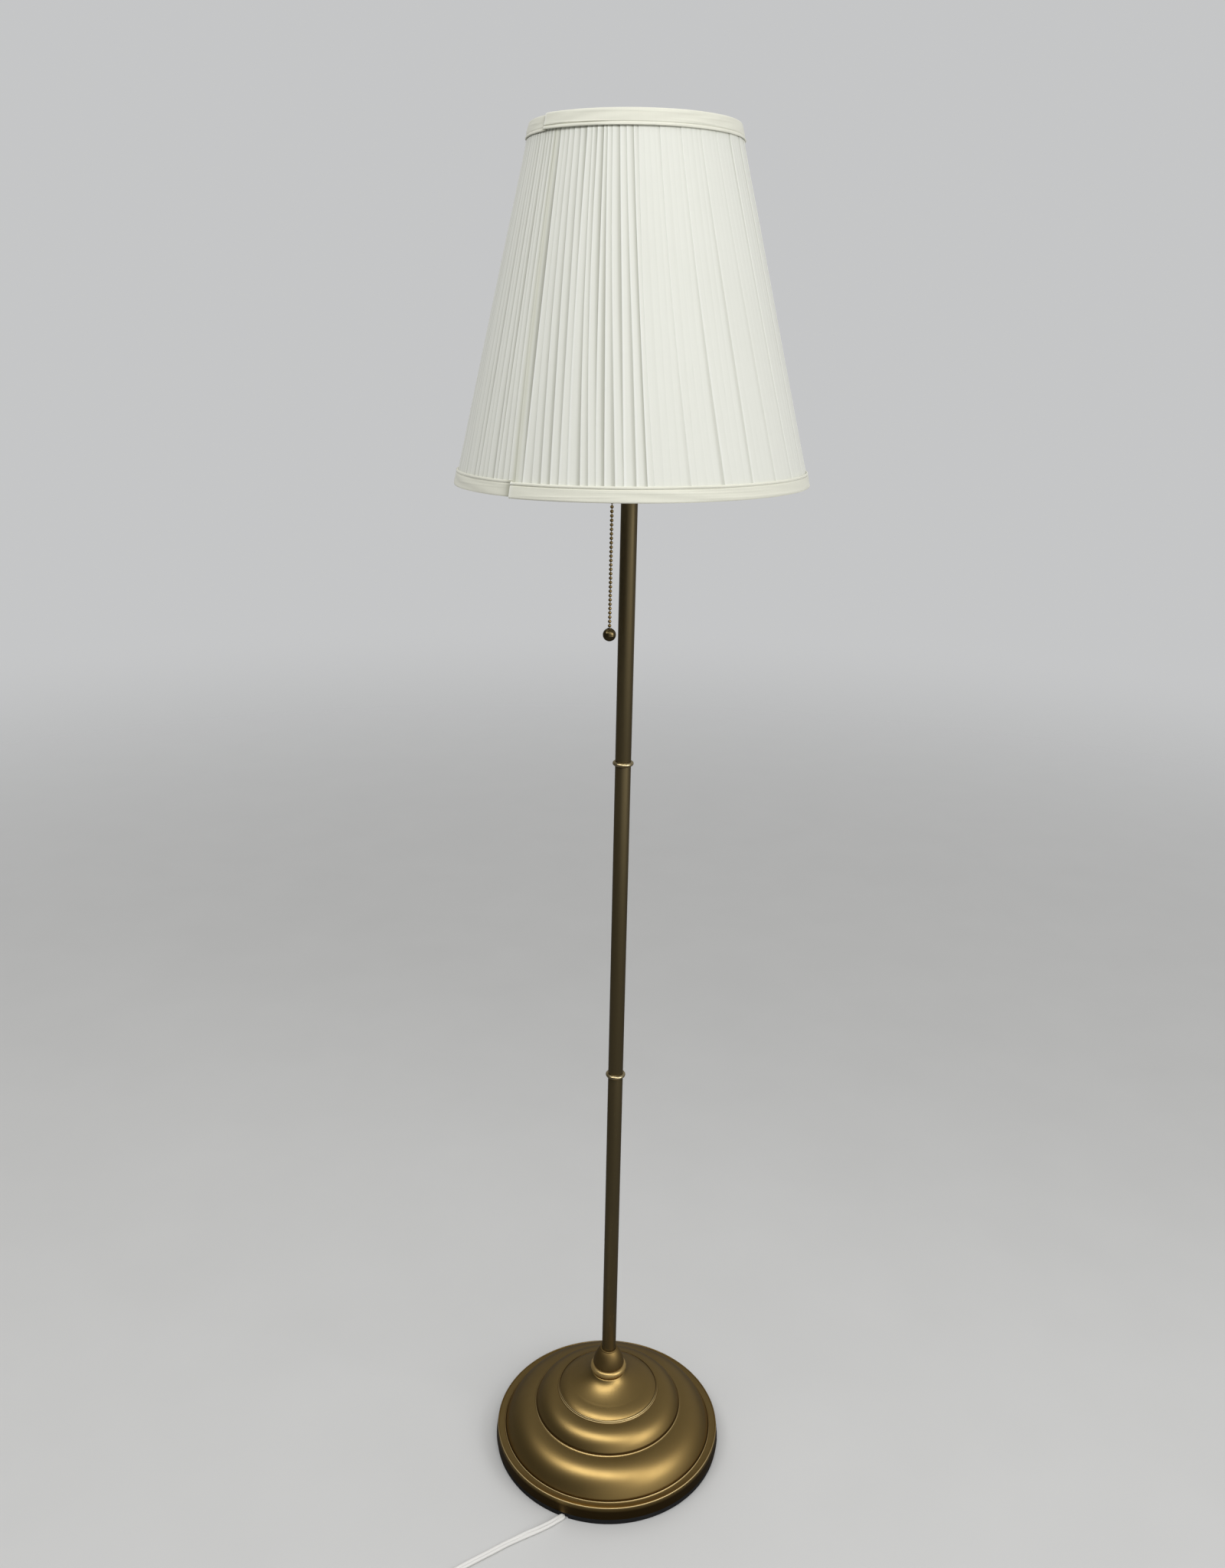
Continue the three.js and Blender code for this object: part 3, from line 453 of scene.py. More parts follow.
def colour(red, green, blue):
    """A colour as it is seen, 0 to 255, as the linear numbers that a shader takes."""
    seen = np.array([red, green, blue]) / 255
    linear = np.where(seen <= 0.04045, seen / 12.92, ((seen + 0.055) / 1.055) ** 2.4)
    return (*linear.tolist(), 1.0)


# %% [markdown]
# ## Light and floor
#
# Polished turnings show the room more than themselves, so the lights are shaped for them: a
# broad one high in front draws the long crescents on the base's treads, and a smaller one, from
# the right, leaves the left side of every round piece dark. The floor is plain and pale.


# %% Lights, floor and backdrop tone
BACKDROP = (0.56, 0.565, 0.57, 1)
FLOOR_LIGHT, FLOOR_DARK = (0.70, 0.70, 0.69, 1), (0.66, 0.66, 0.65, 1)
FLOOR_MIRRORED = (0.10, 0.10, 0.10, 1)
FLOOR_SIDE = 6.0  # half of its width


def soft_light(name, at, towards, width, height, watts):
    """A rectangular lamp of a given size that faces a point."""
    lamp = bpy.data.objects.new(name, bpy.data.lights.new(name, "AREA"))
    lamp.data.shape = "RECTANGLE"
    lamp.data.size, lamp.data.size_y = width, height
    lamp.data.energy = watts
    lamp.location = at
    lamp.rotation_mode = "QUATERNION"
    lamp.rotation_quaternion = (Vector(towards) - Vector(at)).to_track_quat("-Z", "Y")
    bpy.context.scene.collection.objects.link(lamp)


def make_floor():
    """A floor with a faint mottle that fades into the backdrop a few metres out. Its mirror image
    in metal is darker than it looks, like a workshop's stone: a Light Path node tells the kinds
    of ray apart."""
    floor = Finish("pale_floor", roughness=0.85)
    mottle = floor.noise(floor.place(), 6.0)
    pale = floor.mixed(mottle, FLOOR_DARK, FLOOR_LIGHT)
    mirrored = floor.node("LightPath", result="Is Glossy Ray")
    x, y, _ = floor.parts(floor.place())
    fade = 1 - ((x * x + y * y) ** 0.5).step_between(1.2, 5.0)
    floor.feed(base_color=floor.mixed(mirrored, pale, FLOOR_MIRRORED), alpha=fade)
    corners = [(x * FLOOR_SIDE, y * FLOOR_SIDE, 0) for x, y in ((-1, -1), (1, -1), (1, 1), (-1, 1))]
    mesh = bpy.data.meshes.new("floor")
    mesh.from_pydata(corners, [], [(0, 1, 2, 3)])
    mesh.materials.append(floor.material)
    piece = bpy.data.objects.new("floor", mesh)
    bpy.context.scene.collection.objects.link(piece)


def make_world():
    """A plain pale backdrop to look at. The room that lights the lamp is brighter above and to
    the right, and the room that polished metal mirrors is darker, and brightest in front."""
    world = bpy.data.worlds.new("room")
    world.use_nodes = True
    room = Nodes(world.node_tree)
    side, back, up = room.parts(room.node("TexCoord", result="Generated"))
    lighting = (up.step_between(-0.1, 0.9) * 0.30 + side.step_between(-0.8, 0.9) * 0.14
                + back.step_between(0.0, 1.0) * 0.34 + 0.09)
    window_side = side * 0.62 - back * 0.79
    mirrored = (window_side.step_between(0.45, 1.0) * 0.46 + up.step_between(0.2, 1.0) * 0.06
                + side.step_between(0.0, 1.0) * 0.12 + back.step_between(0.3, 1.0) * 0.12 + 0.065)
    glossy = room.node("LightPath", result="Is Glossy Ray")
    level = lighting + (mirrored - lighting) * glossy
    seen = room.node("LightPath", result="Is Camera Ray")
    tone = room.node("CombineXYZ", values=(level, level, level))
    background = world.node_tree.nodes["Background"]
    room.fill(background.inputs["Color"], room.mixed(seen, tone, BACKDROP))
    bpy.context.scene.world = world


make_floor()
make_world()
soft_light("window", (2.3, -1.5, 2.0), (0, 0, 0.9), 1.5, 1.5, 22)
soft_light("ceiling", (-0.40, -1.30, 2.75), (0, -0.05, 0.2), 3.8, 0.80, 38)
bpy.context.scene.view_settings.view_transform = "Standard"

# %% [markdown]
# ## Antique brass
#
# The base is pressed and spun from sheet, coloured brown and then rubbed back, so the raised treads
# are gold. The dark brown in the grooves and on the skirt is painted shade and a painted reflection
# of a dark floor. The pale front of each ridge is a painted highlight. The grooves and the ridges
# are at known radii, so a mask of the distance from the axis finds them. The turning marks are
# noise that is read by radius and height alone, which makes rings, and the patina is a broad soft
# noise.


# %% Brass finishes
def near(value, at, width):
    """1 at a value, and a smooth fall to 0 at `width` on both sides of it."""
    return 1 - (value - at).size().step_between(0.0, width)


def turning_marks(finish, pitch):
    """Fine rings round the axis: noise of radius and height, far denser than their spacing."""
    _, _, rings = finish.from_axis()
    return finish.noise(rings, 1 / pitch, 2.0)


def antique_brass(name, light, brown, rough=0.28, grooves=(), ridges=(), skirt=None):
    """Rubbed brass: gold, with a brown patina in soft patches. A piece with a skirt gets painted
    shade and a painted dark reflection below the skirt's height and in grooves at given radii. It
    also gets a painted pale highlight on the front side of its ridges."""
    brass = Finish(name, metallic=1.0, anisotropic=0.45)
    radius, height, _ = brass.from_axis()
    patches = brass.noise(brass.place(), 9.0, 4.0)
    smears = brass.noise(brass.place(), 60.0, 3.0)
    tone = brass.mixed(patches, colour(*light), colour(*brown))
    tone = brass.mixed(smears * 0.22, tone, colour(128, 102, 62))
    if skirt is not None:
        # Painted shade and a painted reflection of a dark floor: dark brown below the skirt's top
        # and in the grooves.
        dark = (1 - height.step_between(skirt - 3 * MM, skirt + 1 * MM)) * 0.8
        for at, width in grooves:
            dark = near(radius, at * MM, width * MM) * 0.75 + dark
        tone = brass.mixed(dark.at_most(1.0), tone, colour(62, 44, 22))
        # Painted highlight: the ridges are pale and less metallic on the front side, which faces
        # the camera and the lamps.
        _, y, _ = brass.parts(brass.place())
        frontness = (y / radius * -1).step_between(-0.25, 0.75)
        ridge_highlight = sum(near(radius, at * MM, width * MM) for at, width in ridges) * frontness
        tone = brass.mixed(ridge_highlight * 0.85, tone, colour(252, 226, 166))
        brass.feed(metallic=1 - ridge_highlight * 0.35)
    marks = turning_marks(brass, 0.5 * MM)
    normal = brass.bump(marks * 0.6 + smears * 0.4, 0.012 * MM)
    return brass.feed(base_color=tone, normal=normal,
                      roughness=patches * 0.10 + smears * 0.06 + marks * 0.04 + rough)


def polished_brass(name, light, dark, rough, metallic=1.0):
    """Smooth brass or bronze, with hairline rings and a trace of tarnish."""
    brass = Finish(name, metallic=metallic)
    tarnish = brass.noise(brass.place(), 120.0, 4.0)
    tone = brass.mixed(tarnish, colour(*light), colour(*dark))
    marks = turning_marks(brass, 0.25 * MM)
    return brass.feed(base_color=tone, roughness=tarnish * 0.12 + marks * 0.05 + rough,
                      normal=brass.bump(marks, 0.006 * MM))


def bronzed_tube(name):
    """Dark bronzed tube: long hairlines down its length, soft cloudy patches, and a few pale
    scratches low down, where it has been knocked."""
    tube = Finish(name, metallic=0.85)
    hairlines = tube.noise(tube.stretched(tube.place(), 2600, 2600, 9), 1.0, 3.0)
    clouds = tube.noise(tube.stretched(tube.place(), 40, 40, 5), 1.0, 3.0)
    scratches = tube.noise(tube.stretched(tube.place(), 900, 900, 60), 1.0, 1.0)
    _, height, _ = tube.from_axis()
    low = 1 - height.step_between(0.18, 0.60)
    pale = scratches.step_between(0.70, 0.76) * (low * 0.55 + 0.08)
    tone = tube.mixed(clouds, colour(130, 115, 82), colour(106, 94, 66))
    tone = tube.mixed(pale, tone, colour(170, 150, 108))
    rough = clouds * 0.08 + hairlines * 0.10 + 0.27
    return tube.feed(base_color=tone, roughness=rough, normal=tube.bump(hairlines, 0.01 * MM))


# The grooves of the base, which get painted shade, and its ridges, which get a painted highlight:
# radius and half width, in millimetres.
BASE_GROOVES = ((60.2, 0.9), (89.3, 0.8), (127.9, 0.8))
SKIRT_TOP = 20.0 * MM
BASE_RIDGES = ((60.9, 0.6), (62.3, 0.6), (90.7, 0.8), (129.2, 0.8), (137.6, 0.9))
GOLD, BROWN = (190, 162, 104), (166, 137, 82)
BRASS = antique_brass("antique_brass", GOLD, BROWN)
CUP_BRASS = antique_brass("antique_brass_cup", (166, 140, 90), (136, 112, 68), 0.40)
BASE_BRASS = antique_brass("antique_brass_base", GOLD, BROWN, 0.28, BASE_GROOVES, BASE_RIDGES,
                           SKIRT_TOP)
BRIGHT_BRASS = polished_brass("polished_brass", (238, 222, 180), (206, 183, 134), 0.16)
COLLAR_BRASS = polished_brass("collar_brass", (228, 196, 128), (198, 166, 104), 0.30, 0.80)
CHAIN_BRASS = polished_brass("chain_brass", (196, 170, 118), (140, 116, 74), 0.22)
BALL_BRONZE = polished_brass("ball_bronze", (132, 116, 82), (96, 84, 58), 0.14)
BRONZE = bronzed_tube("bronzed_tube")


# %% [markdown]
# ## The other finishes
#
# Each one is what its material does to light: plated steel is grey and a little grainy, a
# casting is rough and pitted, rubber is nearly black, cloth is woven, vinyl has a soft skin, and
# moulded phenolic is dark with a faint gloss. The patterns are in metres, so they are the right
# size on any piece.


# %% Metal, black and moulded finishes
def grainy(name, light, dark, stain, grain, rough, depth, dust=None, **constants):
    """A tone that drifts between two colours with a broad noise, `stain`, and a fine noise,
    `grain`, that roughens the surface and stands `depth` metres high. A noise is its scale, its
    detail and its roughness, and `rough` is the least roughness and what the grain adds. With
    `dust`, the second colour shows only where the broad noise is high, and only by that share."""
    finish = Finish(name, **constants)
    broad = finish.noise(finish.place(), *stain)
    fine = finish.noise(finish.place(), *grain)
    if dust:
        broad = broad.step_between(0.5, 0.8) * dust
    least, more = rough
    return finish.feed(base_color=finish.mixed(broad, (*light, 1), (*dark, 1)),
                       roughness=fine * more + least, normal=finish.bump(fine, depth))


def moulded(name, light, dark, gloss):
    """Moulded plastic: a near flat tone, a flow mottle and a very fine skin."""
    return grainy(name, light, dark, (50.0, 4.0), (2200.0, 2.0), (gloss, 0.12), 0.015 * MM)


def fibre_card(name):
    """Insulating card: brown, with paper fibres that lie along the height."""
    card = Finish(name, roughness=0.9)
    fibres = card.noise(card.stretched(card.place(), 1800, 1800, 300), 1.0, 5.0, 0.7)
    tone = card.mixed(fibres, (0.50, 0.40, 0.25, 1), (0.36, 0.27, 0.16, 1))
    return card.feed(base_color=tone, normal=card.bump(fibres, 0.05 * MM))


# Zinc plate with soft stains, a pitted casting, rubber with dust in its grain, and dipped wire.
STEEL = grainy("plated_steel", (0.50, 0.50, 0.48), (0.34, 0.34, 0.34), (70.0,), (900.0,),
               (0.25, 0.2), 0.02 * MM, metallic=1.0)
IRON = grainy("cast_iron", (0.03, 0.03, 0.03), (0.09, 0.08, 0.075), (420.0, 6.0, 0.7),
              (420.0, 6.0, 0.7), (0.6, 0.25), 0.4 * MM, metallic=0.6)
RUBBER = grainy("black_rubber", (0.010, 0.010, 0.011), (0.07, 0.065, 0.06), (45.0, 4.0),
                (1500.0, 2.0), (0.62, 0.2), 0.05 * MM, dust=0.35)
WIRE = grainy("coated_wire", (0.78, 0.78, 0.74), (0.70, 0.70, 0.65), (160.0, 2.0), (160.0, 2.0),
              (0.35, 0.15), 0.1 * MM, coat_weight=0.4, coat_roughness=0.2)
PHENOLIC = moulded("moulded_phenolic", (0.035, 0.024, 0.020), (0.022, 0.016, 0.014), 0.32)
VINYL = moulded("white_vinyl", (0.88, 0.87, 0.84), (0.83, 0.82, 0.78), 0.36)
LINING = moulded("shade_lining", (0.84, 0.84, 0.78), (0.79, 0.79, 0.73), 0.42)
CARD = fibre_card("fibre_card")
# A frosted bulb is milky and part clear, with a fine etched skin.
FROSTED = grainy("frosted_glass", (0.93, 0.93, 0.90), (0.86, 0.86, 0.83), (1300.0, 3.0),
                 (1300.0, 3.0), (0.3, 0.1), 0.01 * MM, transmission_weight=0.55, ior=1.45)

# %% [markdown]
# ## Woven cloth and tape
#
# Thread by thread geometry would be millions of faces, so the weave is a bump: two sine waves,
# one along each direction of the UV, which is in metres on every cloth piece. Slubs, which are
# threads of uneven thickness, are noise stretched along the thread. The tape is a closer rib.

# %% Cloth finishes
THREAD = 0.42 * MM
SLUBS = 0.5  # how far a thick thread stands out, next to the weave
# Painted light on the cloth: the second tone here is painted shade under each fold's step, and the
# tone below it is a painted highlight on the fold's edge.
SEAM_TONE, FOLD_SHADE_TONE = colour(188, 188, 152), colour(138, 138, 116)
FOLD_HIGHLIGHT_TONE = colour(250, 251, 246)


def woven(name, light, dark, across, along, folds):
    """Cloth of two sets of threads, `across` and `along` metres apart in the UV. Its point
    attribute "fold" is 0 in the line under a fold, which gets painted shade, and 1 on the fold's
    edge, which gets a painted highlight. Both act by the share `folds`, and the attribute is a half
    elsewhere. Where "seam" is 1, two layers overlap."""
    cloth = Finish(name, sheen_weight=0.25, sheen_roughness=0.5)
    u, v, _ = cloth.parts(cloth.cloth())
    weave = (u * (2 * math.pi / across)).sine() * (v * (2 * math.pi / along)).sine()
    slub = cloth.noise(cloth.stretched(cloth.cloth(), 900, 24, 1), 1.0, 3.0)
    cross_slub = cloth.noise(cloth.stretched(cloth.cloth(), 30, 1100, 1), 1.0, 2.0)
    patches = cloth.noise(cloth.place(), 14.0, 3.0)
    shade = slub * 0.45 + cross_slub * 0.15 + patches * 0.4
    tone = cloth.mixed(shade, light, dark)
    fold = cloth.node("Attribute", {"attribute_name": "fold"}, result="Fac")
    seam = cloth.node("Attribute", {"attribute_name": "seam"}, result="Fac")
    tone = cloth.mixed(seam * 0.38, tone, SEAM_TONE)
    # Painted shade in the line under each fold, and a painted highlight on its edge.
    tone = cloth.mixed((1 - fold.step_between(-0.1, 0.5)) * folds, tone, FOLD_SHADE_TONE)
    tone = cloth.mixed(fold.step_between(0.5, 1.0) * folds, tone, FOLD_HIGHLIGHT_TONE)
    height = weave * 0.3 + slub * SLUBS + cross_slub * SLUBS * 0.6 + 0.5
    return cloth.feed(base_color=tone, roughness=slub * 0.1 + 0.82,
                      normal=cloth.bump(height, 0.04 * MM, 0.6))


CLOTH = woven("pleated_cloth", colour(237, 238, 229), colour(227, 228, 218), THREAD, THREAD, 0.62)
TAPE = woven("ribbed_tape", colour(234, 234, 220), colour(224, 223, 207), 0.9 * MM, 0.35 * MM, 0.6)

# %% [markdown]
# ## The base
#
# One pressing: it flares out from the neck like a bell to a fine ridge, steps down in two convex
# treads that end in a ridge each, and has a shallow channel, a rolled rim and a short straight
# skirt. A lathe outline is the natural way, and the flare and the treads are quadratic curves so
# that they keep one clean highlight. The wall is a real 1.3 mm.

# %% Turn the base
NECK = top("base_shell") / MM
RIM = BASE_RADIUS / MM
FOOT = bottom("base_shell") / MM
HOLE = 5.3


def base_outline():
    """From the hole, down the outside to the foot, and back up the inside."""
    outside = [
        line([HOLE, NECK], [19.5, NECK]),
        bend([20.6, NECK - 0.5], [25.8, 92.6], [45, 84.4], 22),
        bend([45.8, 84.0], [55.4, 80.4], [59.6, 76.6], 14),
        arc(0.5, [60.5, 76.3], 160, 30, 5),
        arc(0.8, [61.9, 74.9], 120, 20, 5),
        bend([63.0, 74.2], [81.2, 71], [89.3, 55.0], 28),
        line([89.5, 53.2]),
        arc(0.7, [90.6, 52.9], 150, 30, 6),
        bend([92.0, 52.8], [116.2, 49.3], [127.9, 24.2], 34),
        line([128.1, 22.3]),
        arc(0.6, [129.0, 22.6], 150, 20, 6),
        bend([130.0, 22.2], [133.2, 21.6], [136.4, 22.4], 6),
        arc(0.9, [137.3, 22.3], 140, 0, 8),
        line([138.5, 20.4], [RIM, FOOT]),
    ]
    inside = [
        line([RIM - 1.3, FOOT], [RIM - 1.4, 19], [137, 20.6], [128.2, 20.6]),
        bend([126, 22], [114.2, 47.2], [89.9, 51.2], 12),
        bend([88.2, 54], [79.6, 69.4], [61, 72.4], 10),
        bend([58.6, 75.2], [54.2, 78.9], [45.2, 82.7], 8),
        bend([44, 83.2], [24.6, 91.4], [19.2, NECK - 1.4], 8),
        line([HOLE, NECK - 1.4]),
    ]
    return np.concatenate(outside + inside)


make_piece("spun_base", turned(base_outline(), 192), BASE_BRASS, stands_for=["base_shell"])

# %% [markdown]
# ## The foot ring
#
# A ring of black rubber lifts the brass off the floor. It has one notch, where the cord comes
# out. The ring is a rounded section carried round the axis, and in the notch the section's
# underside is lifted; the columns are doubled at the notch's sides so that these stay upright.

# %% Turn the foot ring with its notch
FOOT_INNER = 124.0
NOTCH_HEIGHT = top("cord_gland") / MM + 0.3
NOTCH_WIDTH = 10.4
CORD_OUT = np.array([-0.65, -0.76]) / math.hypot(0.65, 0.76)
GLAND_SETBACK, GLAND_LENGTH = 3.0, 16.0
gland_middle = np.array(middle("cord_gland").xy) / MM
CORD_EXIT = gland_middle + CORD_OUT * (GLAND_SETBACK + GLAND_LENGTH / 2)


def angle_on_exit(radius):
    """The direction, from the axis, of the cord's straight way out at a radius."""
    back = -(CORD_EXIT @ CORD_OUT)
    reach = back + np.sqrt(back**2 - CORD_EXIT @ CORD_EXIT + radius**2)
    point = CORD_EXIT + CORD_OUT * reach[:, None]
    return np.arctan2(point[:, 1], point[:, 0])


def notched_ring(inner, outer, height):
    """Section point p at column c: the angle is the column's, turned with the exit's line, and
    the underside is at the notch's height between the notch's two sides."""
    corners = line([inner, 0.0], [outer - 0.6, 0.0], [outer, height], [inner, height])
    section = eased(corners, 0.9, 3)
    half = NOTCH_WIDTH / 2 / outer
    ease = np.array([0.0, 0.0, 0.0015])
    gap = np.concatenate([-half + ease[::-1] - 0.0015, half + ease])
    lifted = np.array([0, 1, 1, 1, 1, 0])
    rest = np.linspace(half + 0.02, 2 * np.pi - half - 0.02, 190)
    angle = np.concatenate([gap, rest, gap[:1] + 2 * np.pi])
    lift = np.concatenate([lifted, np.zeros(len(rest)), lifted[:1]])
    lift[0] = lift[-1] = 0
    section = np.concatenate([section, section[:1]])
    r, z = section[:, :1], section[:, 1:]
    turn = angle_on_exit(section[:, 0])[:, None] + angle[None, :]
    low = np.maximum(z, NOTCH_HEIGHT + 0.15 * z / height)
    height_here = z + (low - z) * lift[None, :]
    points = np.stack([r * np.cos(turn), r * np.sin(turn), height_here], -1) * MM
    return sheet_of(points)


_, foot_top, foot_radius = span("foot_ring")
make_piece("rubber_foot", notched_ring(FOOT_INNER, foot_radius, foot_top), RUBBER,
           stands_for=["foot_ring"])

# %% [markdown]
# ## The neck and the pole
#
# A polished ring sits on the base, and a bell-shaped cup on the ring takes the pole. The pole is
# three tubes, screwed together through two polished rings. Small bevels at the tubes' ends
# matter: without them the joints would have no line of light.

# %% Turn the neck, the tubes and the rings
POLE = radius_of("pole_lower") / MM
BORE = 7.4


def tube_outline(inner, outer, low, high, bevel):
    """A tube's wall with its four edges eased."""
    return eased(line([inner, low], [outer, low], [outer, high], [inner, high]), bevel, 3)


neck_low, neck_high, _ = span("neck_ring")
neck_middle = (neck_low + neck_high) / 2
collar = np.concatenate([
    line([8, neck_low + 0.4], [16.2, neck_low + 0.4]),
    arc(4.5, [17.6, neck_middle], -84, 84, 18),
    line([16.2, neck_high - 0.4], [8, neck_high - 0.4]),
])
make_piece("neck_collar", turned(collar, 96), COLLAR_BRASS,
           stands_for=["neck_ring"])

cone_low, cone_high, _ = span("neck_cone")
cup = np.concatenate([
    line([16.6, cone_low + 0.2], [18.2, cone_low + 0.1]),
    arc(0.8, [18.3, cone_low + 1.0], -80, 10, 5),
    bend([19.1, cone_low + 1.6], [16.6, 126.5], [10.3, cone_high - 1.9], 18),
    arc(0.9, [9.9, cone_high - 1.0], -30, 90, 6),
    line([POLE + 0.3, cone_high - 0.1], [POLE + 0.3, cone_high - 12]),
])
make_piece("neck_cup", turned(cup, 96), CUP_BRASS, stands_for=["neck_cone"])

for place in ("lower", "middle", "upper"):
    low, high, _ = span("pole_" + place)
    make_piece("tube_" + place, turned(tube_outline(BORE, POLE, low, high, 0.35), 64), BRONZE,
               stands_for=["pole_" + place])

for place in ("lower", "upper"):
    low, high, _ = span("joint_ring_" + place)
    ring_outline = np.concatenate([
        line([BORE + 0.1, low + 0.1], [9.3, low + 0.1]),
        arc(2.15, [9.1, (low + high) / 2], -75, 75, 14),
        line([9.3, high - 0.1], [BORE + 0.1, high - 0.1]),
    ])
    make_piece("pole_joint_" + place, turned(ring_outline, 72), BRIGHT_BRASS,
               stands_for=["joint_ring_" + place])

# %% [markdown]
# ## The lamp holder and the bulb
#
# Under the shade a pull-chain holder stands on the pole: a cup, a straight shell, and a ring nut
# that clamps the shade's frame. The shell has a beaded edge and a press-fit line, and the nut is
# milled so that fingers can turn it. The milling is a ripple of the radius round the axis.

# %% Turn the holder
low, high, wide = span("holder_cap")
holder_cup = np.concatenate([
    line([HOLE, low], [9.2, low]),
    arc(0.8, [9.2, low + 0.8], -80, 0, 4),
    line([10, low + 3.6]),
    bend([10.8, low + 4.8], [wide - 0.2, low + 5.4], [wide - 0.4, low + 15.5], 16),
    arc(0.5, [wide - 0.3, low + 17.4], -70, 70, 6),
    line([wide - 0.2, low + 19], [wide - 0.1, high - 0.3], [wide - 0.7, high]),
    bend([wide - 0.8, low + 15.6], [wide - 1, low + 6.6], [11, low + 5.4], 10),
    line([HOLE, low + 5.3]),
])
make_piece("holder_cup", turned(holder_cup, 96), BRASS, stands_for=["holder_cap"])


def milled_nut(node, inner, teeth):
    """The radius outside ripples between two levels with the angle, and is plain at the edges."""
    low, high, outer = span(node)
    height = np.array([low, low, low + 0.5, low + 1.2, high - 1.2, high - 0.5, high, high])
    radius = np.array([inner, outer - 0.9, outer - 0.4, outer - 0.3, outer - 0.3, outer - 0.4,
                       outer - 0.9, inner])
    ripple = np.array([0, 0, 0.0, 0.3, 0.3, 0.0, 0, 0])
    angle = np.linspace(0, 2 * np.pi, teeth * 6 + 1)
    wave = np.cos(angle * teeth)
    height, radius, ripple = (np.append(row, row[0])[:, None] for row in (height, radius, ripple))
    reach = (radius + ripple * wave) * MM
    points = np.stack([reach * np.cos(angle), reach * np.sin(angle), height * MM + 0 * wave], -1)
    return sheet_of(points)


make_piece("milled_ring_nut", milled_nut("shade_nut", 19.3, 60), BRASS,
           stands_for=["shade_nut"])

# %% Turn the bulb and its screw cap
BULB_LOW, BULB_HIGH, _ = span("bulb_cap")
GLASS_RADIUS = 30.0
GLASS_MIDDLE = top("bulb_glass") / MM - GLASS_RADIUS


def glass_outline(inset):
    """Neck, flare and most of a sphere, `inset` inside the outer surface."""
    ball = arc(GLASS_RADIUS - inset, [0, GLASS_MIDDLE], -38, 90, 30)
    ball[-1, 0] = 0
    neck = bend([12.4 - inset, BULB_HIGH + 0.3], [14 - inset, 1345], ball[0], 14)
    return np.concatenate([neck[:-1], ball])


glass_wall = np.concatenate([glass_outline(0.0), glass_outline(1.0)[::-1]])
make_piece("frosted_bulb", turned(glass_wall, 72), FROSTED, stands_for=["bulb_glass"])


def screw_cap():
    """A helical thread: the radius follows the cosine of height over pitch, less the angle."""
    pitch, crest = 3.6, 12.7
    height = np.linspace(BULB_LOW + 6.2, BULB_HIGH, 60)
    angle = np.linspace(0, 2 * np.pi, 49)[None, :]
    depth = 0.5 * (1 - np.cos(2 * np.pi * height[:, None] / pitch - angle))
    fade = np.clip((BULB_HIGH - 4 - height) / 2, 0, 1)[:, None]
    wall = crest - 0.8 * depth * fade
    tip = line([0, BULB_LOW], [3.6, BULB_LOW], [4.3, BULB_LOW + 1.2], [5, BULB_LOW + 2.2],
               [11.4, BULB_LOW + 5.6])
    lid = line([crest, BULB_HIGH], [0, BULB_HIGH])
    r = np.concatenate([tip[:, :1] + 0 * angle, wall, lid[:, :1] + 0 * angle]) * MM
    z = np.concatenate([tip[:, 1], height, lid[:, 1]])[:, None] * MM + 0 * angle
    return sheet_of(np.stack([r * np.cos(angle), r * np.sin(angle), z], -1))


make_piece("bulb_screw_cap", screw_cap(), STEEL, stands_for=["bulb_cap"])

# %% [markdown]
# ## The pull chain
#
# A ball chain is hollow beads on short wires. One bead is a small sphere of a few dozen faces
# and one link a thin rod; both are copied down the chain by adding an array of places. The ball
# at the end is a heavier turned piece with a collar where the chain goes in.

# %% String the beads
CHAIN_X, CHAIN_Y, _ = middle("pull_chain")
CHAIN_PITCH = 4.4 * MM
BEAD = 1.8 * MM


def ball(radius, rows, columns):
    """A sphere: x = r cos b cos a, y = r cos b sin a, z = r sin b."""
    rise = np.linspace(-np.pi / 2, np.pi / 2, rows)[:, None]
    turn = np.linspace(0, 2 * np.pi, columns + 1)[None, :]
    return sheet_of(radius * np.stack([np.cos(rise) * np.cos(turn), np.cos(rise) * np.sin(turn),
                                       np.sin(rise) + 0 * turn], -1))


def bead_chain(low, high):
    """Beads at an even pitch between two heights, with a thin link through them all."""
    count = int(round((high - low) / CHAIN_PITCH))
    pitch = (high - low) / count
    height = low + pitch * (np.arange(count) + 0.5)
    places = np.stack([np.full(count, CHAIN_X), np.full(count, CHAIN_Y), height], 1)
    links = places[:-1] + [0, 0, pitch / 2]
    link = turned(line([0, -0.9], [0.42, -0.9], [0.42, 0.9], [0, 0.9]), 6, closed=False)
    print("beads:", count)
    return joined([repeated(ball(BEAD, 9, 12), places), repeated(link, links)])


make_piece("bead_chain", bead_chain(bottom("pull_chain"), top("pull_chain")), CHAIN_BRASS,
           "chain", ["pull_chain"])

_, _, ball_radius = span("chain_ball")
ball_middle = middle("chain_ball").z / MM
low, high = ball_middle - ball_radius, ball_middle + ball_radius
pull_ball = np.concatenate([
    line([0, low], [0.8, low + 0.05]),
    arc(ball_radius, [0, ball_middle], -82, -2, 22),
    arc(ball_radius - 0.12, [0, ball_middle], 0, 1, 1),  # the line where its halves meet
    arc(ball_radius, [0, ball_middle], 3, 68, 20),
    line([2.2, high - 0.35], [2.1, high + 0.1], [1.0, high + 0.2], [0, high - 0.2]),
])
make_piece("pull_ball", turned(pull_ball, 48, False, (CHAIN_X, CHAIN_Y)), BALL_BRONZE,
           "chain", ["chain_ball"])

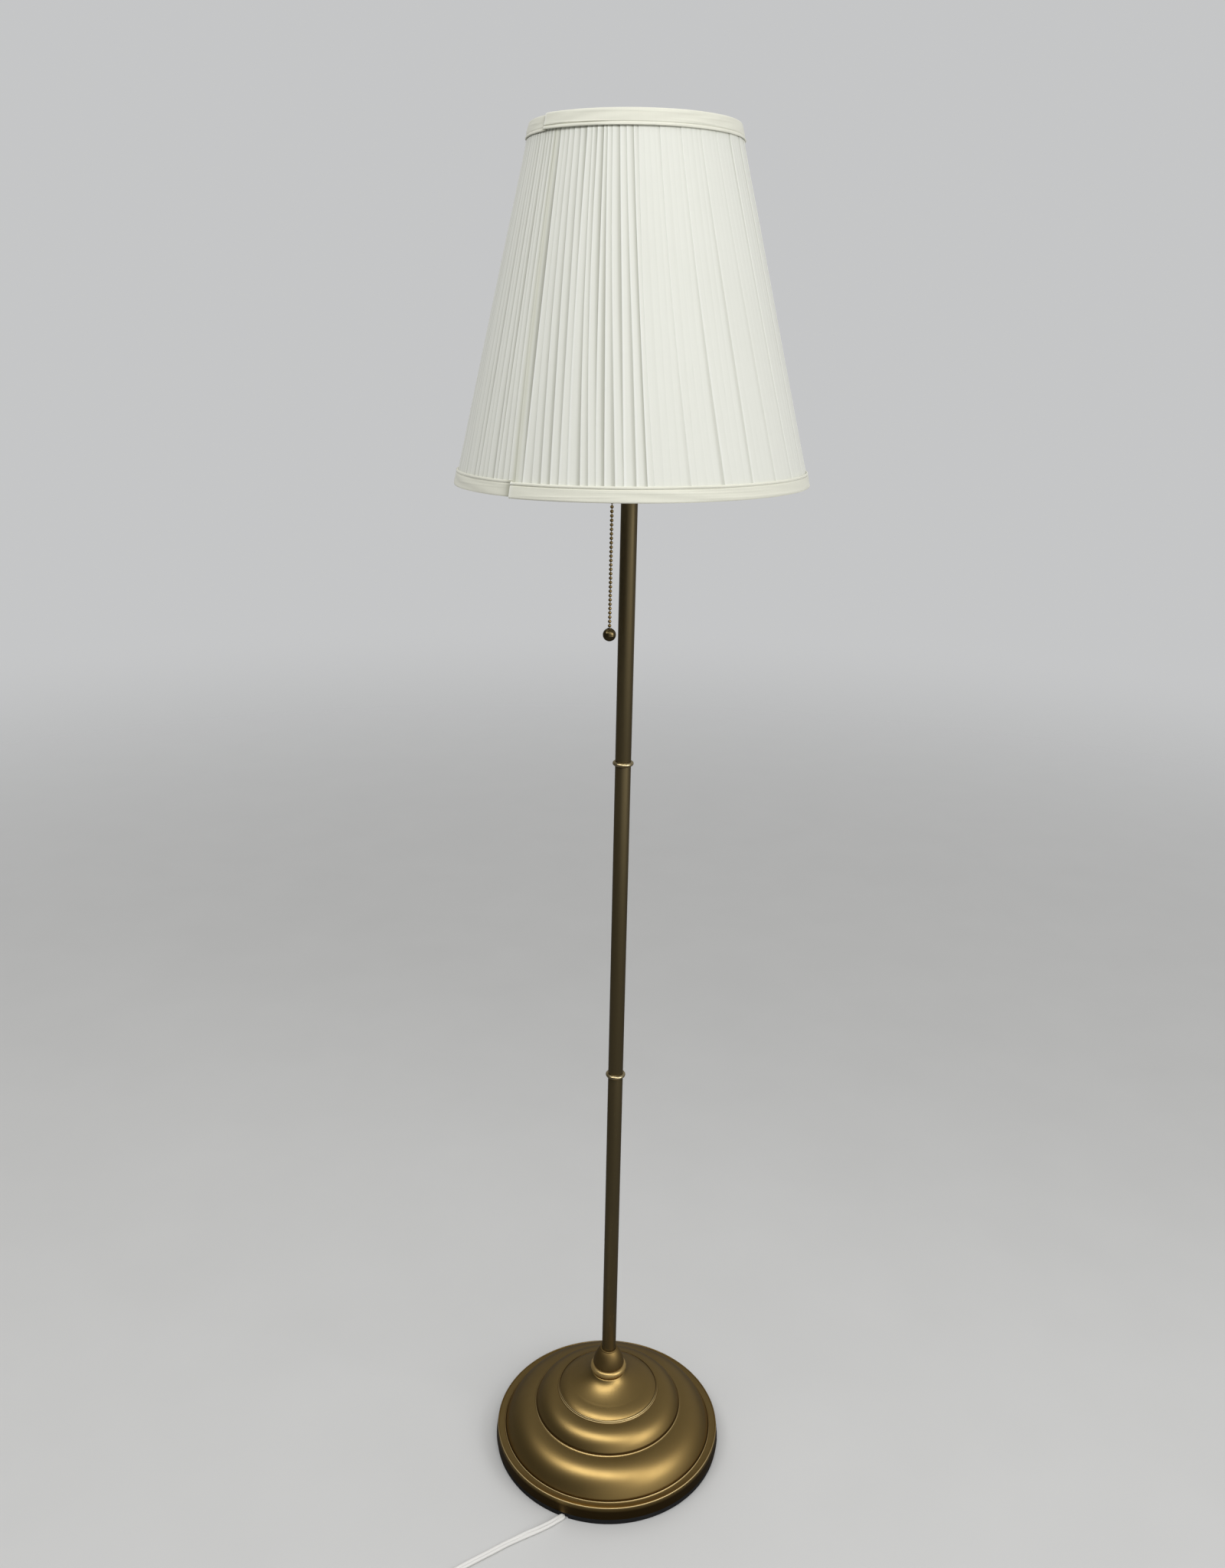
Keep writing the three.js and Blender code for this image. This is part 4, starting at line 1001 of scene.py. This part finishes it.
# %% [markdown]
# ## The pleated cover
#
# The cover is cloth laid in knife folds round a cone. Most folds are narrow and lie close. Right
# of the front the cloth lies in wide panels, each of one deep fold and three shallow ones. A fold
# rises in one steep step and falls evenly to the next, and its width, its depth and the run of
# its line are its own. A cloth simulation would iron these out at this scale, so the surface is
# a function of two parameters: the place round the shade, counted in folds, and the height. The
# folds lean a little as they go down, as sewn ones do. The fine shadow under each step and the
# pale light on its edge are thinner than the mesh's faces, so a mark on the points carries them
# to the finish.

# %% Work out the folds
SHADE_TILT = math.radians(-0.8)  # the frame sits a little askew on its holder


def askew(shape):
    """Turn a shape of the shade about the middle of its fitter ring: x' = x cos + z sin, and
    z' = z cos - x sin, with z counted from the ring."""
    points, faces, uv = shape
    pivot = np.array([0, 0, middle("fitter_ring").z])
    x, y, z = (points - pivot).T
    cos, sin = math.cos(SHADE_TILT), math.sin(SHADE_TILT)
    return np.stack([x * cos + z * sin, y, z * cos - x * sin], 1) + pivot, faces, uv


SHADE_LOW, SHADE_HIGH = bottom("trim_bottom"), top("trim_top")
SHADE_LOW_RADIUS = radius_of("trim_bottom")
WIRE_TO_OUTSIDE = 5.6 * MM - 5 * MM * 0.243  # from the top wire out to the cone, 5 mm higher up
SHADE_HIGH_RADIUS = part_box("wire_top")[1].x + WIRE_TO_OUTSIDE
WIDE_PANELS, NARROW_PANELS = 8, 98
FOLDS_IN_WIDE = 4
WIDE, NARROW = math.radians(10.9), math.radians(2.78)
FIRST_FOLD = math.radians(271)  # where the wide panels begin
FOLD_DEPTH = 0.65 * MM
SMALL_STEP = 0.16  # of the full depth, for the folds inside a wide panel
FOLD_LEAN = math.radians(6)
COVER_DEPTH = 1.35 * MM  # from the trim's outside to the crests
COVER_LEAST, COVER_MOST = 1.2 * MM, 3.35 * MM
COVER_INSIDE = 3.6 * MM
TAPE_WIDTH = 14.2 * MM
GATHER_DEPTH, GATHERS = 0.35 * MM, 310  # the little pleats at the tapes, and their radians
SAG = 0.25 * MM
PUFF = 0.7 * MM  # the cloth swells out a little just under the top tape
SEAM_AT, SEAM_WIDTH = math.radians(226.5), math.radians(2.6)
# One fold: how far along it, how far the cloth has risen there, and its painted light. This is a
# painted highlight on its edge where positive, and painted shade at its foot where negative.
FOLD = np.array([
    [0.00, 0.00, -0.46], [0.05, 0.92, 0.42], [0.12, 1.00, 0.50], [0.22, 1.00, 0.30],
    [0.34, 1.00, 0.08], [0.50, 1.00, 0.00], [0.64, 1.00, 0.00], [0.76, 1.00, 0.00],
    [0.88, 1.00, 0.00],
])


def rise(value, low, high):
    """0 before low, 1 after high, smooth between: 3t^2 - 2t^3."""
    t = np.clip((value - low) / (high - low), 0, 1)
    return t * t * (3 - 2 * t)


def shade_radius(height):
    """Outside radius of the shade's cone at a height."""
    share = (height - SHADE_LOW) / (SHADE_HIGH - SHADE_LOW)
    return SHADE_LOW_RADIUS + (SHADE_HIGH_RADIUS - SHADE_LOW_RADIUS) * share


def fold_plan(rng):
    """Each fold's start and width, its place in its panel, and its panel's count of folds and
    strength. Wide panels of four folds come first, and panels of a single fold after them."""
    folds = np.repeat([FOLDS_IN_WIDE, 1], [WIDE_PANELS, NARROW_PANELS])
    uneven = np.where(folds > 1, 0.05, 0.27) * rng.uniform(-1, 1, len(folds))
    width = np.where(folds > 1, WIDE, NARROW) * (1 + uneven)
    width *= 2 * np.pi / width.sum()
    strength = np.clip(rng.normal(0.85, 0.12, len(folds)), 0.6, 1.0)
    place = np.arange(folds.sum()) - np.repeat(np.cumsum(folds) - folds, folds)
    width, strength, folds = [np.repeat(row, folds) for row in (width / folds, strength, folds)]
    start = FIRST_FOLD + np.cumsum(width) - width
    return [row[:, None] for row in (start, width, place, folds, strength)]


def pleated_cover(rows=40):
    """Depth under the crest line = fold depth * (1 - standing). Over a panel the cloth rises in one
    steep step and then falls evenly: standing = risen * (1 - share of the panel passed). The folds
    inside a wide panel add a small step of the same form. The angle is the fold line's, plus its
    lean and a slow wander. Short gathers under both tapes die out in a few millimetres. Gives the
    outer and the inner points, the marks of painted shade and painted highlight along the fold
    lines, and the marks for the seam."""
    rng = np.random.default_rng(11)
    low, high = bottom("shade_cover"), top("shade_cover")
    down = np.concatenate([np.linspace(0, 0.06, 12)[:-1], np.linspace(0.06, 0.94, rows - 17),
                           np.linspace(0.94, 1, 7)[1:]])[:, None, None]
    height = high - (high - low) * down
    start, width, place, folds, strength = fold_plan(rng)
    along, risen, edge = FOLD.T[:, None, :]
    first = place == 0
    passed = (place + along) / folds
    standing = np.where(first, risen * (1 - passed), 1 - passed + SMALL_STEP * risen * (1 - along))
    phase, pace = rng.uniform(0, 2 * np.pi, (2, len(start), 1))
    breath = strength * (0.85 + 0.15 * np.sin(2.2 * down + phase))
    wander = 0.14 * width * np.sin(3.0 * down * (1 + 0.1 * pace) + phase) * (1 - 0.6 * along)
    angle = start + along * width + wander + FOLD_LEAN * down
    gather = np.exp(-down / 0.02) + np.exp(-(1 - down) / 0.012)
    ripple = GATHER_DEPTH * gather * np.sin(angle * GATHERS + phase)
    sag = SAG * np.sin(5 * angle + 2 * down) * np.sin(np.pi * down)
    depth = COVER_DEPTH + FOLD_DEPTH * (1 - standing * breath) + ripple + sag
    below_tape = SHADE_HIGH - TAPE_WIDTH - height
    puff = PUFF * rise(below_tape, 0, 1 * MM) * np.exp(-below_tape / (5 * MM))
    depth = np.clip(depth - puff, COVER_LEAST - PUFF * (below_tape >= 0), COVER_MOST)
    # Painted light along the fold lines: a painted highlight on each step's edge, and painted shade
    # (`under`) just ahead of the next step. Both are stronger near the tapes, as painted shade and
    # light of the gathers.
    crisp = breath * np.where(first, np.where(folds > 1, 0.7, 1.0), 0.25)
    ahead = (1 - along) * width * shade_radius(height)
    under = 0.40 * np.exp(-(ahead / (2.6 * MM)) ** 2) + 0.10 * np.exp(-ahead / (4 * MM))
    painted_fold_light = 0.5 + (crisp * edge - np.roll(crisp, -1, 1) * under) * (1 + 0.8 * gather)
    from_seam = np.mod(angle - SEAM_AT - FOLD_LEAN * down + np.pi, 2 * np.pi) - np.pi
    seam_mark = np.exp(-(2 * from_seam / SEAM_WIDTH) ** 2)
    grids = [np.broadcast_to(grid, depth.shape).reshape(len(down), -1)
             for grid in (depth, angle, height, painted_fold_light, seam_mark)]
    depth, angle, height, painted_fold_light, seam_mark = [
        np.concatenate([grid, grid[:, :1]], 1) for grid in grids]
    inside = shade_wall(angle, height, COVER_INSIDE)
    return shade_wall(angle, height, depth), inside, painted_fold_light, seam_mark


def shade_wall(angle, height, depth):
    """Points at a depth inside the cone."""
    radius = shade_radius(height) - depth
    return np.stack([radius * np.cos(angle), radius * np.sin(angle), height], -1)


def cloth_uv(points):
    """UV in metres: distance along each row, and down the middle of the cloth."""
    across = np.linalg.norm(np.diff(points, axis=1), axis=2)
    u = np.concatenate([np.zeros((len(points), 1)), np.cumsum(across, 1)], 1)
    v = (points[:, :, 2] - points[0, 0, 2]) * 1.03
    return np.stack([np.broadcast_to(u.mean(0), v.shape), v], -1)


def closed_wall(outer, inner):
    """Rows of the outer side, then of the inner side from its far end, and the first row again."""
    return np.concatenate([outer, inner[::-1], outer[:1]])


outer_cloth, inner_cloth, painted_fold_light, seam_mark = pleated_cover()
cover_wall = sheet_of(closed_wall(outer_cloth, inner_cloth),
                      closed_wall(cloth_uv(outer_cloth), cloth_uv(inner_cloth)))
cover_marks = {"fold": closed_wall(painted_fold_light, 0 * painted_fold_light + 0.5),
               "seam": closed_wall(seam_mark, 0 * seam_mark)}
cover = make_piece("pleated_shade", askew(cover_wall), CLOTH, "shade",
                   ["shade_cover"], crease=75, marks=cover_marks)

# %% [markdown]
# ## Lining, tapes and their welts
#
# Behind the cloth is a thin smooth lining. A folded tape closes each edge: it has a rolled welt
# along the side that meets the pleats, it is pulled in slightly between stitches, and its end
# laps over its beginning, which is a small step that fades as the tape goes on round. The step
# and the creases are added to the radius as functions of the angle and the place on the tape.


# %% Turn the lining and the tapes
def cone_wall(outer, inner, low, high):
    """A thin conical wall between two depths, in millimetres."""
    corners = ((outer, low), (outer, high), (inner, high), (inner, low))
    return line(*[(shade_radius(z) / MM - depth, z / MM) for depth, z in corners])


lining = cone_wall(3.8, 4.4, bottom("shade_liner"), top("shade_liner"))
make_piece("shade_lining", askew(turned(lining, 160)), LINING, "shade",
           ["shade_liner"])

LAP_AT = {"top": math.radians(218), "bottom": math.radians(231.5)}
LAP_STEP = 1.7 * MM
LAP_OVER = 1.3 * MM  # how far the lapped end stands past the edge
CREASE_WIDTH = 0.55


# The tape's section: depth, and distance in from the shade's edge. It goes over the edge, down
# the face, round the welt, back under the face, and over the edge to a short turn inside.
TAPE_FACE = np.linspace(1.5, 10.5, 16)
TAPE_SECTION = np.concatenate([
    line([1.3, 0.1], [0.5, 0.25], [0.12, 0.9]), np.stack([0 * TAPE_FACE, TAPE_FACE], 1),
    line([0.25, 10.9], [0.35, 11.4], [0.1, 11.7], [-0.25, 12.2], [-0.4, 12.9], [-0.2, 13.6]),
    line([0.3, 14.0], [0.9, 13.9], [1.15, 13.4], [1.2, 12.0], [1.2, 6.0], [1.25, 1.3]),
    line([2.4, 1.0], [4.6, 1.1], [4.75, 2.2], [4.9, 2.4], [5.2, 2.35], [5.3, 1.6]),
    line([5.1, 0.5], [4.4, 0.05], [2.6, 0.0], [1.3, 0.1]),
])


def tape(place, edge, into):
    """The section round the cone, with the lap's step, long shallow creases and a slight waviness
    of both sides. A crease is a ridge exp(-offset^2) along a line that crosses the tape. Gives the
    shape, and the mark that paints shade on the low side of the lap's step and a highlight on its
    raised end."""
    rng = np.random.default_rng(5 if place == "top" else 6)
    near_lap = 2 * np.pi - np.array([0.02, 0.01, 0.004, 0])
    turn = np.concatenate([[0, 0.0005, 0.008], np.linspace(0.03, 2 * np.pi - 0.04, 236), near_lap])
    angle = LAP_AT[place] + turn
    fade = np.exp(-turn / 0.8) * (turn > 0.0004) * (turn < 2 * np.pi - 1e-6)
    outside = np.clip(1 - TAPE_SECTION[:, :1] / 1.2, 0, 1)
    across = TAPE_SECTION[:, 1:]
    waves = rng.uniform(0, 2 * np.pi, 6)
    wave = sum(np.sin(k * angle + start + across * 0.7) for k, start in zip((5, 9, 14), waves)) / 3
    creases = np.concatenate([np.array(CREASES[place]), stray_creases(rng)])[:, :, None, None]
    start, end, low, high, tall = creases.transpose(1, 0, 2, 3)
    share = np.clip((np.mod(np.degrees(angle), 360) - start) / (end - start), 0, 1)
    offset = (across - low - (high - low) * share) / CREASE_WIDTH
    crease = (tall * np.sin(np.pi * share) ** 0.5 * np.exp(-offset ** 2)).sum(0)
    pull = np.sin(angle * 23 + 0.3 * across) * 0.05
    raised = LAP_STEP * fade + (0.25 * wave + crease + pull) * MM
    depth = TAPE_SECTION[:, :1] * MM - outside * raised
    skew = 0.5 * MM * np.sin(angle + waves[5]) * np.clip(across / 14, 0, 1)
    height = edge + into * (across * MM + skew - LAP_OVER * fade)
    points = shade_wall(np.broadcast_to(angle, depth.shape), height, depth)
    uv = np.stack(np.broadcast_arrays(angle * shade_radius(edge), across * MM), -1)
    # Painted shadow on the low side of the lap's step and a painted highlight on its raised end.
    shadow = 0.9 * np.exp(-(2 * np.pi - turn) / 0.03) - 0.5 * np.exp(-turn / 0.012)
    return sheet_of(points, uv), 0.5 - outside * shadow


def stray_creases(rng):
    """Eight shallow creases at the back, where they fall."""
    start = rng.uniform(0, 170, 8)
    low, high = rng.uniform(2, 10, (2, 8))
    return np.stack([start, start + rng.uniform(12, 40, 8), low, high, rng.uniform(0.1, 0.3, 8)], 1)


# Long creases: start and end angle, and there the distance in from the edge and the height.
CREASES = {
    "top": [(219, 262, 9.4, 11.0, 0.45), (236, 306, 2.2, 3.4, 0.32), (286, 324, 8.2, 10.2, 0.30),
            (298, 338, 5.8, 4.0, 0.24), (190, 216, 4.0, 6.5, 0.30)],
    "bottom": [(233, 268, 3.0, 5.4, 0.36), (256, 318, 9.0, 7.2, 0.30), (288, 334, 3.4, 2.2, 0.30),
               (196, 230, 6.0, 8.0, 0.26)],
}


def make_tape(place, edge, into):
    shape, mark = tape(place, edge, into)
    return make_piece("tape_" + place, askew(shape), TAPE, "shade", ["trim_" + place],
                      marks={"fold": mark, "seam": 0 * mark})


trims = [make_tape("top", SHADE_HIGH, -1), make_tape("bottom", SHADE_LOW, 1)]

# %% [markdown]
# The strip for this cover is much longer than the shade is round, because the folds take it up.
# Only the slant of the cover, from its lower edge to its upper, is worked out here.

SLANT = math.hypot(top("shade_cover") - bottom("shade_cover"), SHADE_LOW_RADIUS - SHADE_HIGH_RADIUS)

# %% [markdown]
# ## The wire frame
#
# Two rings, four ribs and three arms, all of white dipped wire, and a flat ring that sits on the
# holder. Each is a round section on a line between the places that the parts give.


# %% Draw the wires
def wire_ring(node):
    """A torus: a circle turned about the axis, at the node's own height and radius."""
    low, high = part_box(node)
    wire = (high.z - low.z) / 2 / MM
    outline = arc(wire, [high.x / MM - wire, (low.z + high.z) / 2 / MM], 0, 360, 14)[:-1]
    return turned(outline, 144)


def longest_line(node):
    """The ends of a straight round bar, from its mesh: the two furthest groups of points."""
    mesh = bpy.data.objects[node].data
    points = np.empty(len(mesh.vertices) * 3)
    mesh.vertices.foreach_get("co", points)
    points = points.reshape(-1, 3)
    along = np.linalg.svd(points - points.mean(0), full_matrices=False)[2][0]
    reach = (points - points.mean(0)) @ along
    first, last = reach < reach.min() + 1 * MM, reach > reach.max() - 1 * MM
    return points[first].mean(0), points[last].mean(0)


for place in ("top", "bottom"):
    make_piece("wire_ring_" + place, askew(wire_ring("wire_" + place)), WIRE, "shade",
               ["wire_" + place])
for kind, count, wire in (("rib", 4, 1.2 * MM), ("arm", 3, 1.3 * MM)):
    for number in range(1, count + 1):
        start, end = longest_line(f"{kind}_{number}")
        share = np.linspace(0, 1, 9)[:, None]
        bar = askew(rod(start + (end - start) * share, wire))
        make_piece(f"wire_{kind}_{number}", bar, WIRE, "shade", [f"{kind}_{number}"])
low, high, outer = span("fitter_ring")
make_piece("fitter_washer", turned(tube_outline(19.6, outer, low, high, 0.5), 96), WIRE,
           "shade", ["fitter_ring"])

# %% [markdown]
# ## The cord
#
# The cord is a flat twin lead: two round cores side by side under one skin. It leaves the base
# through a small bush, stands partly on edge for a hand's breadth, lies down flat and crosses
# the floor.
# What is left over is wound on edge in a neat coil of two layers, and tied. Its length is fixed,
# so the route comes first, then the section is carried along it with a twist that changes.

# %% Lay the cord's route
CORD_WIDTH, CORD_THICKNESS = 7.5, 3.8
FLAT_HEIGHT = 2.2
COIL_MIDDLE = np.array(middle("cord_coil").xy) / MM
COIL_LOW, COIL_HIGH = bottom("cord_coil") / MM, top("cord_coil") / MM
TURNS = 6.394
INNER_TURN = 38.4
TURN_PITCH = 3.85
START_ANGLE = math.radians(169.6)

cord_start = CORD_EXIT - CORD_OUT * (GLAND_SETBACK - 0.6)
FLOOR_ROUTE = [
    [cord_start[0], cord_start[1]], [-55, -136.4], [-63, -142.8], [-71.5, -148.3], [-80, -153.2],
    [-89, -157.7], [-97.5, -162.2], [-106, -167.1], [-114.5, -172.3], [-130.5, -183.2],
    [-147, -194.2], [-163, -205.2], [-177, -216.4], [-189, -229.5], [-197.5, -244.5],
    [-202.4, -260.5], [-204.6, -277],
]
TAIL_ROUTE = [
    [-110.4, -331.8, 8], [-103, -333.5, 5.4], [-96, -331.6, 4.4], [-90, -326.6, 4.6],
    [-86, -318.5, 5.6], [-84.2, -309.5, 6.8], [-84, -300.3, 7.3],
]


def coil_route():
    """The radius grows by the cord's thickness for each turn away from the middle one, where the
    cord climbs from the lower layer to the upper. Both ends ease out to meet the route."""
    turn = np.linspace(0, TURNS, int(TURNS * 40))[1:-1]
    halfway = TURNS / 2
    radius = INNER_TURN + TURN_PITCH * np.hypot(turn - halfway, 0.12)
    radius += 4.8 * (1 - rise(turn, 0, 0.2)) + 9.1 * rise(turn, TURNS - 0.22, TURNS)
    layer = (COIL_HIGH - COIL_LOW) / 4
    low, high = COIL_LOW + layer, COIL_HIGH - layer
    height = low + (high - low) * rise(turn, halfway - 0.3, halfway + 0.3)
    height = height + (FLAT_HEIGHT + 1.6 - low) * (1 - rise(turn, 0, 0.12))
    height = height + (8 - high) * rise(turn, TURNS - 0.2, TURNS)
    angle = START_ANGLE + 2 * np.pi * turn
    x = COIL_MIDDLE[0] + radius * np.cos(angle)
    y = COIL_MIDDLE[1] + radius * np.sin(angle)
    return np.stack([x, y, height], 1)


floor_route = smooth_path([[x, y, FLAT_HEIGHT] for x, y in FLOOR_ROUTE], 12)
tail_route = smooth_path(TAIL_ROUTE, 12)
whole_route = evenly(np.concatenate([floor_route, coil_route(), tail_route]) * MM, 2.5 * MM)
cord_run = run_of(whole_route)
floor_run = run_of(floor_route * MM)[-1]
tail_run = cord_run[-1] - run_of(tail_route * MM)[-1]
print("cord route", round(cord_run[-1], 3), "m, of which on the floor", round(floor_run, 3))

# %% Twist the section along it
EDGE_AT_EXIT = math.radians(58)


def twin_section(points_on_lobe=9):
    """Two round lobes of half the thickness, joined by a shallow web: the outline's half height
    is the lobe's circle outside its centre and eases to 0.7 of it between the two."""
    lobe, spread = CORD_THICKNESS / 2, (CORD_WIDTH - CORD_THICKNESS) / 2
    right = arc(lobe, [spread, 0], -90, 90, 2 * points_on_lobe)
    web_x = np.linspace(spread, -spread, 9)[1:-1]
    web_y = lobe * (1 - 0.46 * (1 - np.abs(web_x) / spread) ** 2)
    upper = np.stack([web_x, web_y], 1)
    return np.concatenate([right, upper, -right, -upper]) * MM


def cord_twist(run):
    """Angle of the cord's flat: partly on edge just past the bush, flat on the floor, on edge
    in the coil, and flat again at the plug."""
    first = EDGE_AT_EXIT * rise(run, 0.0, 0.015) * (1 - rise(run, 0.03, 0.075))
    coil = np.pi / 2 * rise(run, floor_run - 0.055, floor_run + 0.01)
    return first + coil * (1 - rise(run, tail_run - 0.01, cord_run[-1] - 0.01))


twist = cord_twist(cord_run)
half_height = (np.abs(np.sin(twist)) * (CORD_WIDTH - CORD_THICKNESS) + CORD_THICKNESS) / 2 * MM
route = whole_route.copy()
route[:, 2] = np.maximum(route[:, 2], half_height + 0.15 * MM)
cord_sizes = np.ones(len(route))
cord_sizes[[0, -1]] = 0.02
cord_sizes[[1, -2]] = 0.98
power_lead = make_piece("flat_cord", swept(route, twin_section(), twist, cord_sizes), VINYL,
                        stands_for=["power_cord", "cord_coil", "cord_tail"],
                        crease=60)

# %% [markdown]
# ## The bush, the tie and the plug
#
# The bush holds the cord in the notch. The tie is a soft black strap right round the coil. The
# plug is moulded on: its body is a rounded box whose section changes along its length, a ribbed
# sleeve takes the strain of the cord, and two flat blades with a hole each stand in its face.


# %% Make the bush and the tie
def superellipse(wide, tall, squareness, count=40):
    """x = wide sgn(cos) |cos|^(1/n), y = tall sgn(sin) |sin|^(1/n): round for 1, square above."""
    angle = 2 * np.pi * np.arange(count) / count
    power = 1 / squareness
    return np.stack([wide * np.sign(np.cos(angle)) * np.abs(np.cos(angle)) ** power,
                     tall * np.sign(np.sin(angle)) * np.abs(np.sin(angle)) ** power], 1)


def lofted(path, section, sizes):
    """A section of unit size carried along a path, with its own width and height at each point."""
    along = np.gradient(path, axis=0)
    along /= np.linalg.norm(along, axis=1)[:, None]
    across = np.cross(along, [0, 0, 1.0])
    up = np.cross(across, along)
    ring = np.concatenate([section, section[:1]])
    wide, tall = np.array(sizes, float).T[:, :, None, None]
    return sheet_of(path[:, None] + ring[None, :, :1] * wide * across[:, None]
                    + ring[None, :, 1:] * tall * up[:, None])


def make_bush():
    """A tapered rubber bush, from inside the foot to just short of the rim."""
    share = np.array([0, 0, 0.06, 0.5, 0.9, 1, 1])
    size = np.array([[0, 0], [0.9, 0.9], [1, 1], [1, 1], [0.94, 0.92], [0.8, 0.8], [0, 0]])
    size = size * [(NOTCH_WIDTH - 0.6) / 2, (NOTCH_HEIGHT - 0.9) / 2] + 1e-4
    inner = CORD_EXIT - CORD_OUT * (GLAND_SETBACK + GLAND_LENGTH)
    path = inner[None] + CORD_OUT[None] * GLAND_LENGTH * share[:, None]
    height = np.full((len(share), 1), NOTCH_HEIGHT / 2)
    path = np.concatenate([path, height], 1) + np.arange(len(share))[:, None] * [1e-5, 0, 0]
    return lofted(path * MM, superellipse(1, 1, 2.2), size * MM)


bush = make_piece("cord_bush", make_bush(), RUBBER, stands_for=["cord_gland"])


RING_MIDDLE = 44  # the radius to the middle of the coil's wound section
STRAP_GAP = 0.35


def make_strap():
    """A flat band round the coil's section: a rounded square loop, a millimetre thick."""
    size = np.array([radius_of("cord_coil") / MM - RING_MIDDLE, (COIL_HIGH - COIL_LOW) / 2])
    loop = superellipse(1, 1, 4.0, 64)
    loop = np.concatenate([loop, loop[:1]])
    section = line([0, -2.4], [0, 2.4], [0.55, 2.5], [0.95, 2.3], [0.95, -2.3], [0.55, -2.5],
                   [0, -2.4])
    out = loop[None] * (size + STRAP_GAP + section[:, None, :1])
    radial = RING_MIDDLE + out[..., 0]
    height = np.maximum((COIL_LOW + COIL_HIGH) / 2 + out[..., 1], 0.2)
    side = np.broadcast_to(section[:, 1:], radial.shape)
    turn = math.pi / 3
    x = COIL_MIDDLE[0] + radial * math.cos(turn) - side * math.sin(turn)
    y = COIL_MIDDLE[1] + radial * math.sin(turn) + side * math.cos(turn)
    return sheet_of(np.stack([x, y, height], -1) * MM)


strap = make_piece("coil_strap", make_strap(), RUBBER, stands_for=["cord_tie"])

# %% Mould the plug
plug_low, plug_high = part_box("plug_body")
PLUG_LENGTH = (plug_high.y - plug_low.y) / MM


def make_plug():
    """Width and height along the plug: a ribbed sleeve, a shoulder, a waist for the fingers with
    three grip ridges, and a flat face with a rounded edge."""
    stations = np.linspace(0, 1, 91)
    sleeve = 0.40 + 0.06 * stations / 0.3 + 0.035 * np.cos(stations * 2 * np.pi / 0.075)
    grip = 0.955 - 0.05 * np.sin(np.pi * np.clip((stations - 0.42) / 0.4, 0, 1))
    from_grip = stations - 0.62
    ridges = 0.018 * np.cos(from_grip * 2 * np.pi / 0.066) * (np.abs(from_grip) < 0.116)
    body = grip + ridges
    width = sleeve + (body - sleeve) * rise(stations, 0.29, 0.43)
    face = np.sqrt(np.clip(1 - np.clip((stations - 0.965) / 0.035, 0, 1) ** 2 * 0.35, 0, 1))
    width = width * face
    height = (0.50 + (0.96 - 0.50) * rise(stations, 0.29, 0.43) + ridges) * face
    half_wide, half_tall = (plug_high.x - plug_low.x) / 2, (plug_high.z - plug_low.z) / 2
    size = np.stack([width * half_wide, height * half_tall], 1)
    x, z = (plug_low.x + plug_high.x) / 2, (plug_low.z + plug_high.z) / 2
    y = plug_low.y + PLUG_LENGTH * MM * stations
    path = np.stack([0 * y + x, y, 0 * y + z], 1)
    path = np.concatenate([path[:1] - [0, 1e-5, 0], path, path[-1:] + [0, 1e-5, 0]])
    size = np.concatenate([[[1e-6, 1e-6]], size, [[1e-6, 1e-6]]])
    return lofted(path, superellipse(1, 1, 2.0, 56), size)


plug = make_piece("moulded_plug", make_plug(), VINYL, stands_for=["plug_body"],
                  crease=50)


def make_blade(node):
    """A flat blade with a rounded tip and a round hole: the outline and the hole are two rings of
    the same number of points, on both faces, joined in a loop."""
    low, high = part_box(node)
    count = 32
    angle = 2 * np.pi * np.arange(count + 1) / count
    half, length = (high.z - low.z) / 2, high.y - low.y
    hole_y, hole = high.y - 3.6 * MM, 1.5 * MM
    bulge = np.sign(np.sin(angle)) * np.abs(np.sin(angle)) ** 0.35
    rim_y = (low.y + high.y) / 2 + length / 2 * bulge
    rim_z = half * np.sign(np.cos(angle)) * np.abs(np.cos(angle)) ** 0.35
    ring_y, ring_z = hole_y + hole * np.sin(angle), hole * np.cos(angle)
    rows_y = np.stack([ring_y, rim_y, rim_y, ring_y, ring_y])
    rows_z = np.stack([ring_z, rim_z, rim_z, ring_z, ring_z]) + (low.z + high.z) / 2
    sides = np.array([low.x, low.x, high.x, high.x, low.x])[:, None]
    return sheet_of(np.stack([sides + 0 * rows_y, rows_y, rows_z], -1))


blades = [
    make_piece(f"plug_{side}_blade", make_blade(f"plug_blade_{side}"), BRIGHT_BRASS,
               stands_for=[f"plug_blade_{side}"])
    for side in ("line", "neutral")
]

# %% [markdown]
# ## The parts that stay as they came
#
# The pieces inside the base, the pole and the holder have the right shape already, so they keep
# their own meshes and only get a finish, by group.

# %% Finish the remaining parts
KEPT_PARTS = {
    IRON: ["base_weight"],
    STEEL: ["base_washer", "base_nut", "base_stud", "joint_screw_lower", "joint_screw_upper",
            "holder_nipple", "holder_nut", "lever_pin", "drum_pin", "pull_lever", "lever_spring"],
    BRASS: ["holder_shell", "chain_guide"],
    BRIGHT_BRASS: ["screw_shell", "centre_contact", "chain_coupling", "chain_swivel", "chain_stub"],
    CARD: ["insulating_sleeve"],
    PHENOLIC: ["switch_body", "contact_drum"],
    VINYL: ["inner_lead"],
}


def refinish(node, finish):
    """Put the finish in every material slot of a part."""
    for place in bpy.data.objects[node].material_slots:
        place.material = finish


for finish, nodes in KEPT_PARTS.items():
    for node in nodes:
        refinish(node, finish)
    print(finish.name, len(nodes))
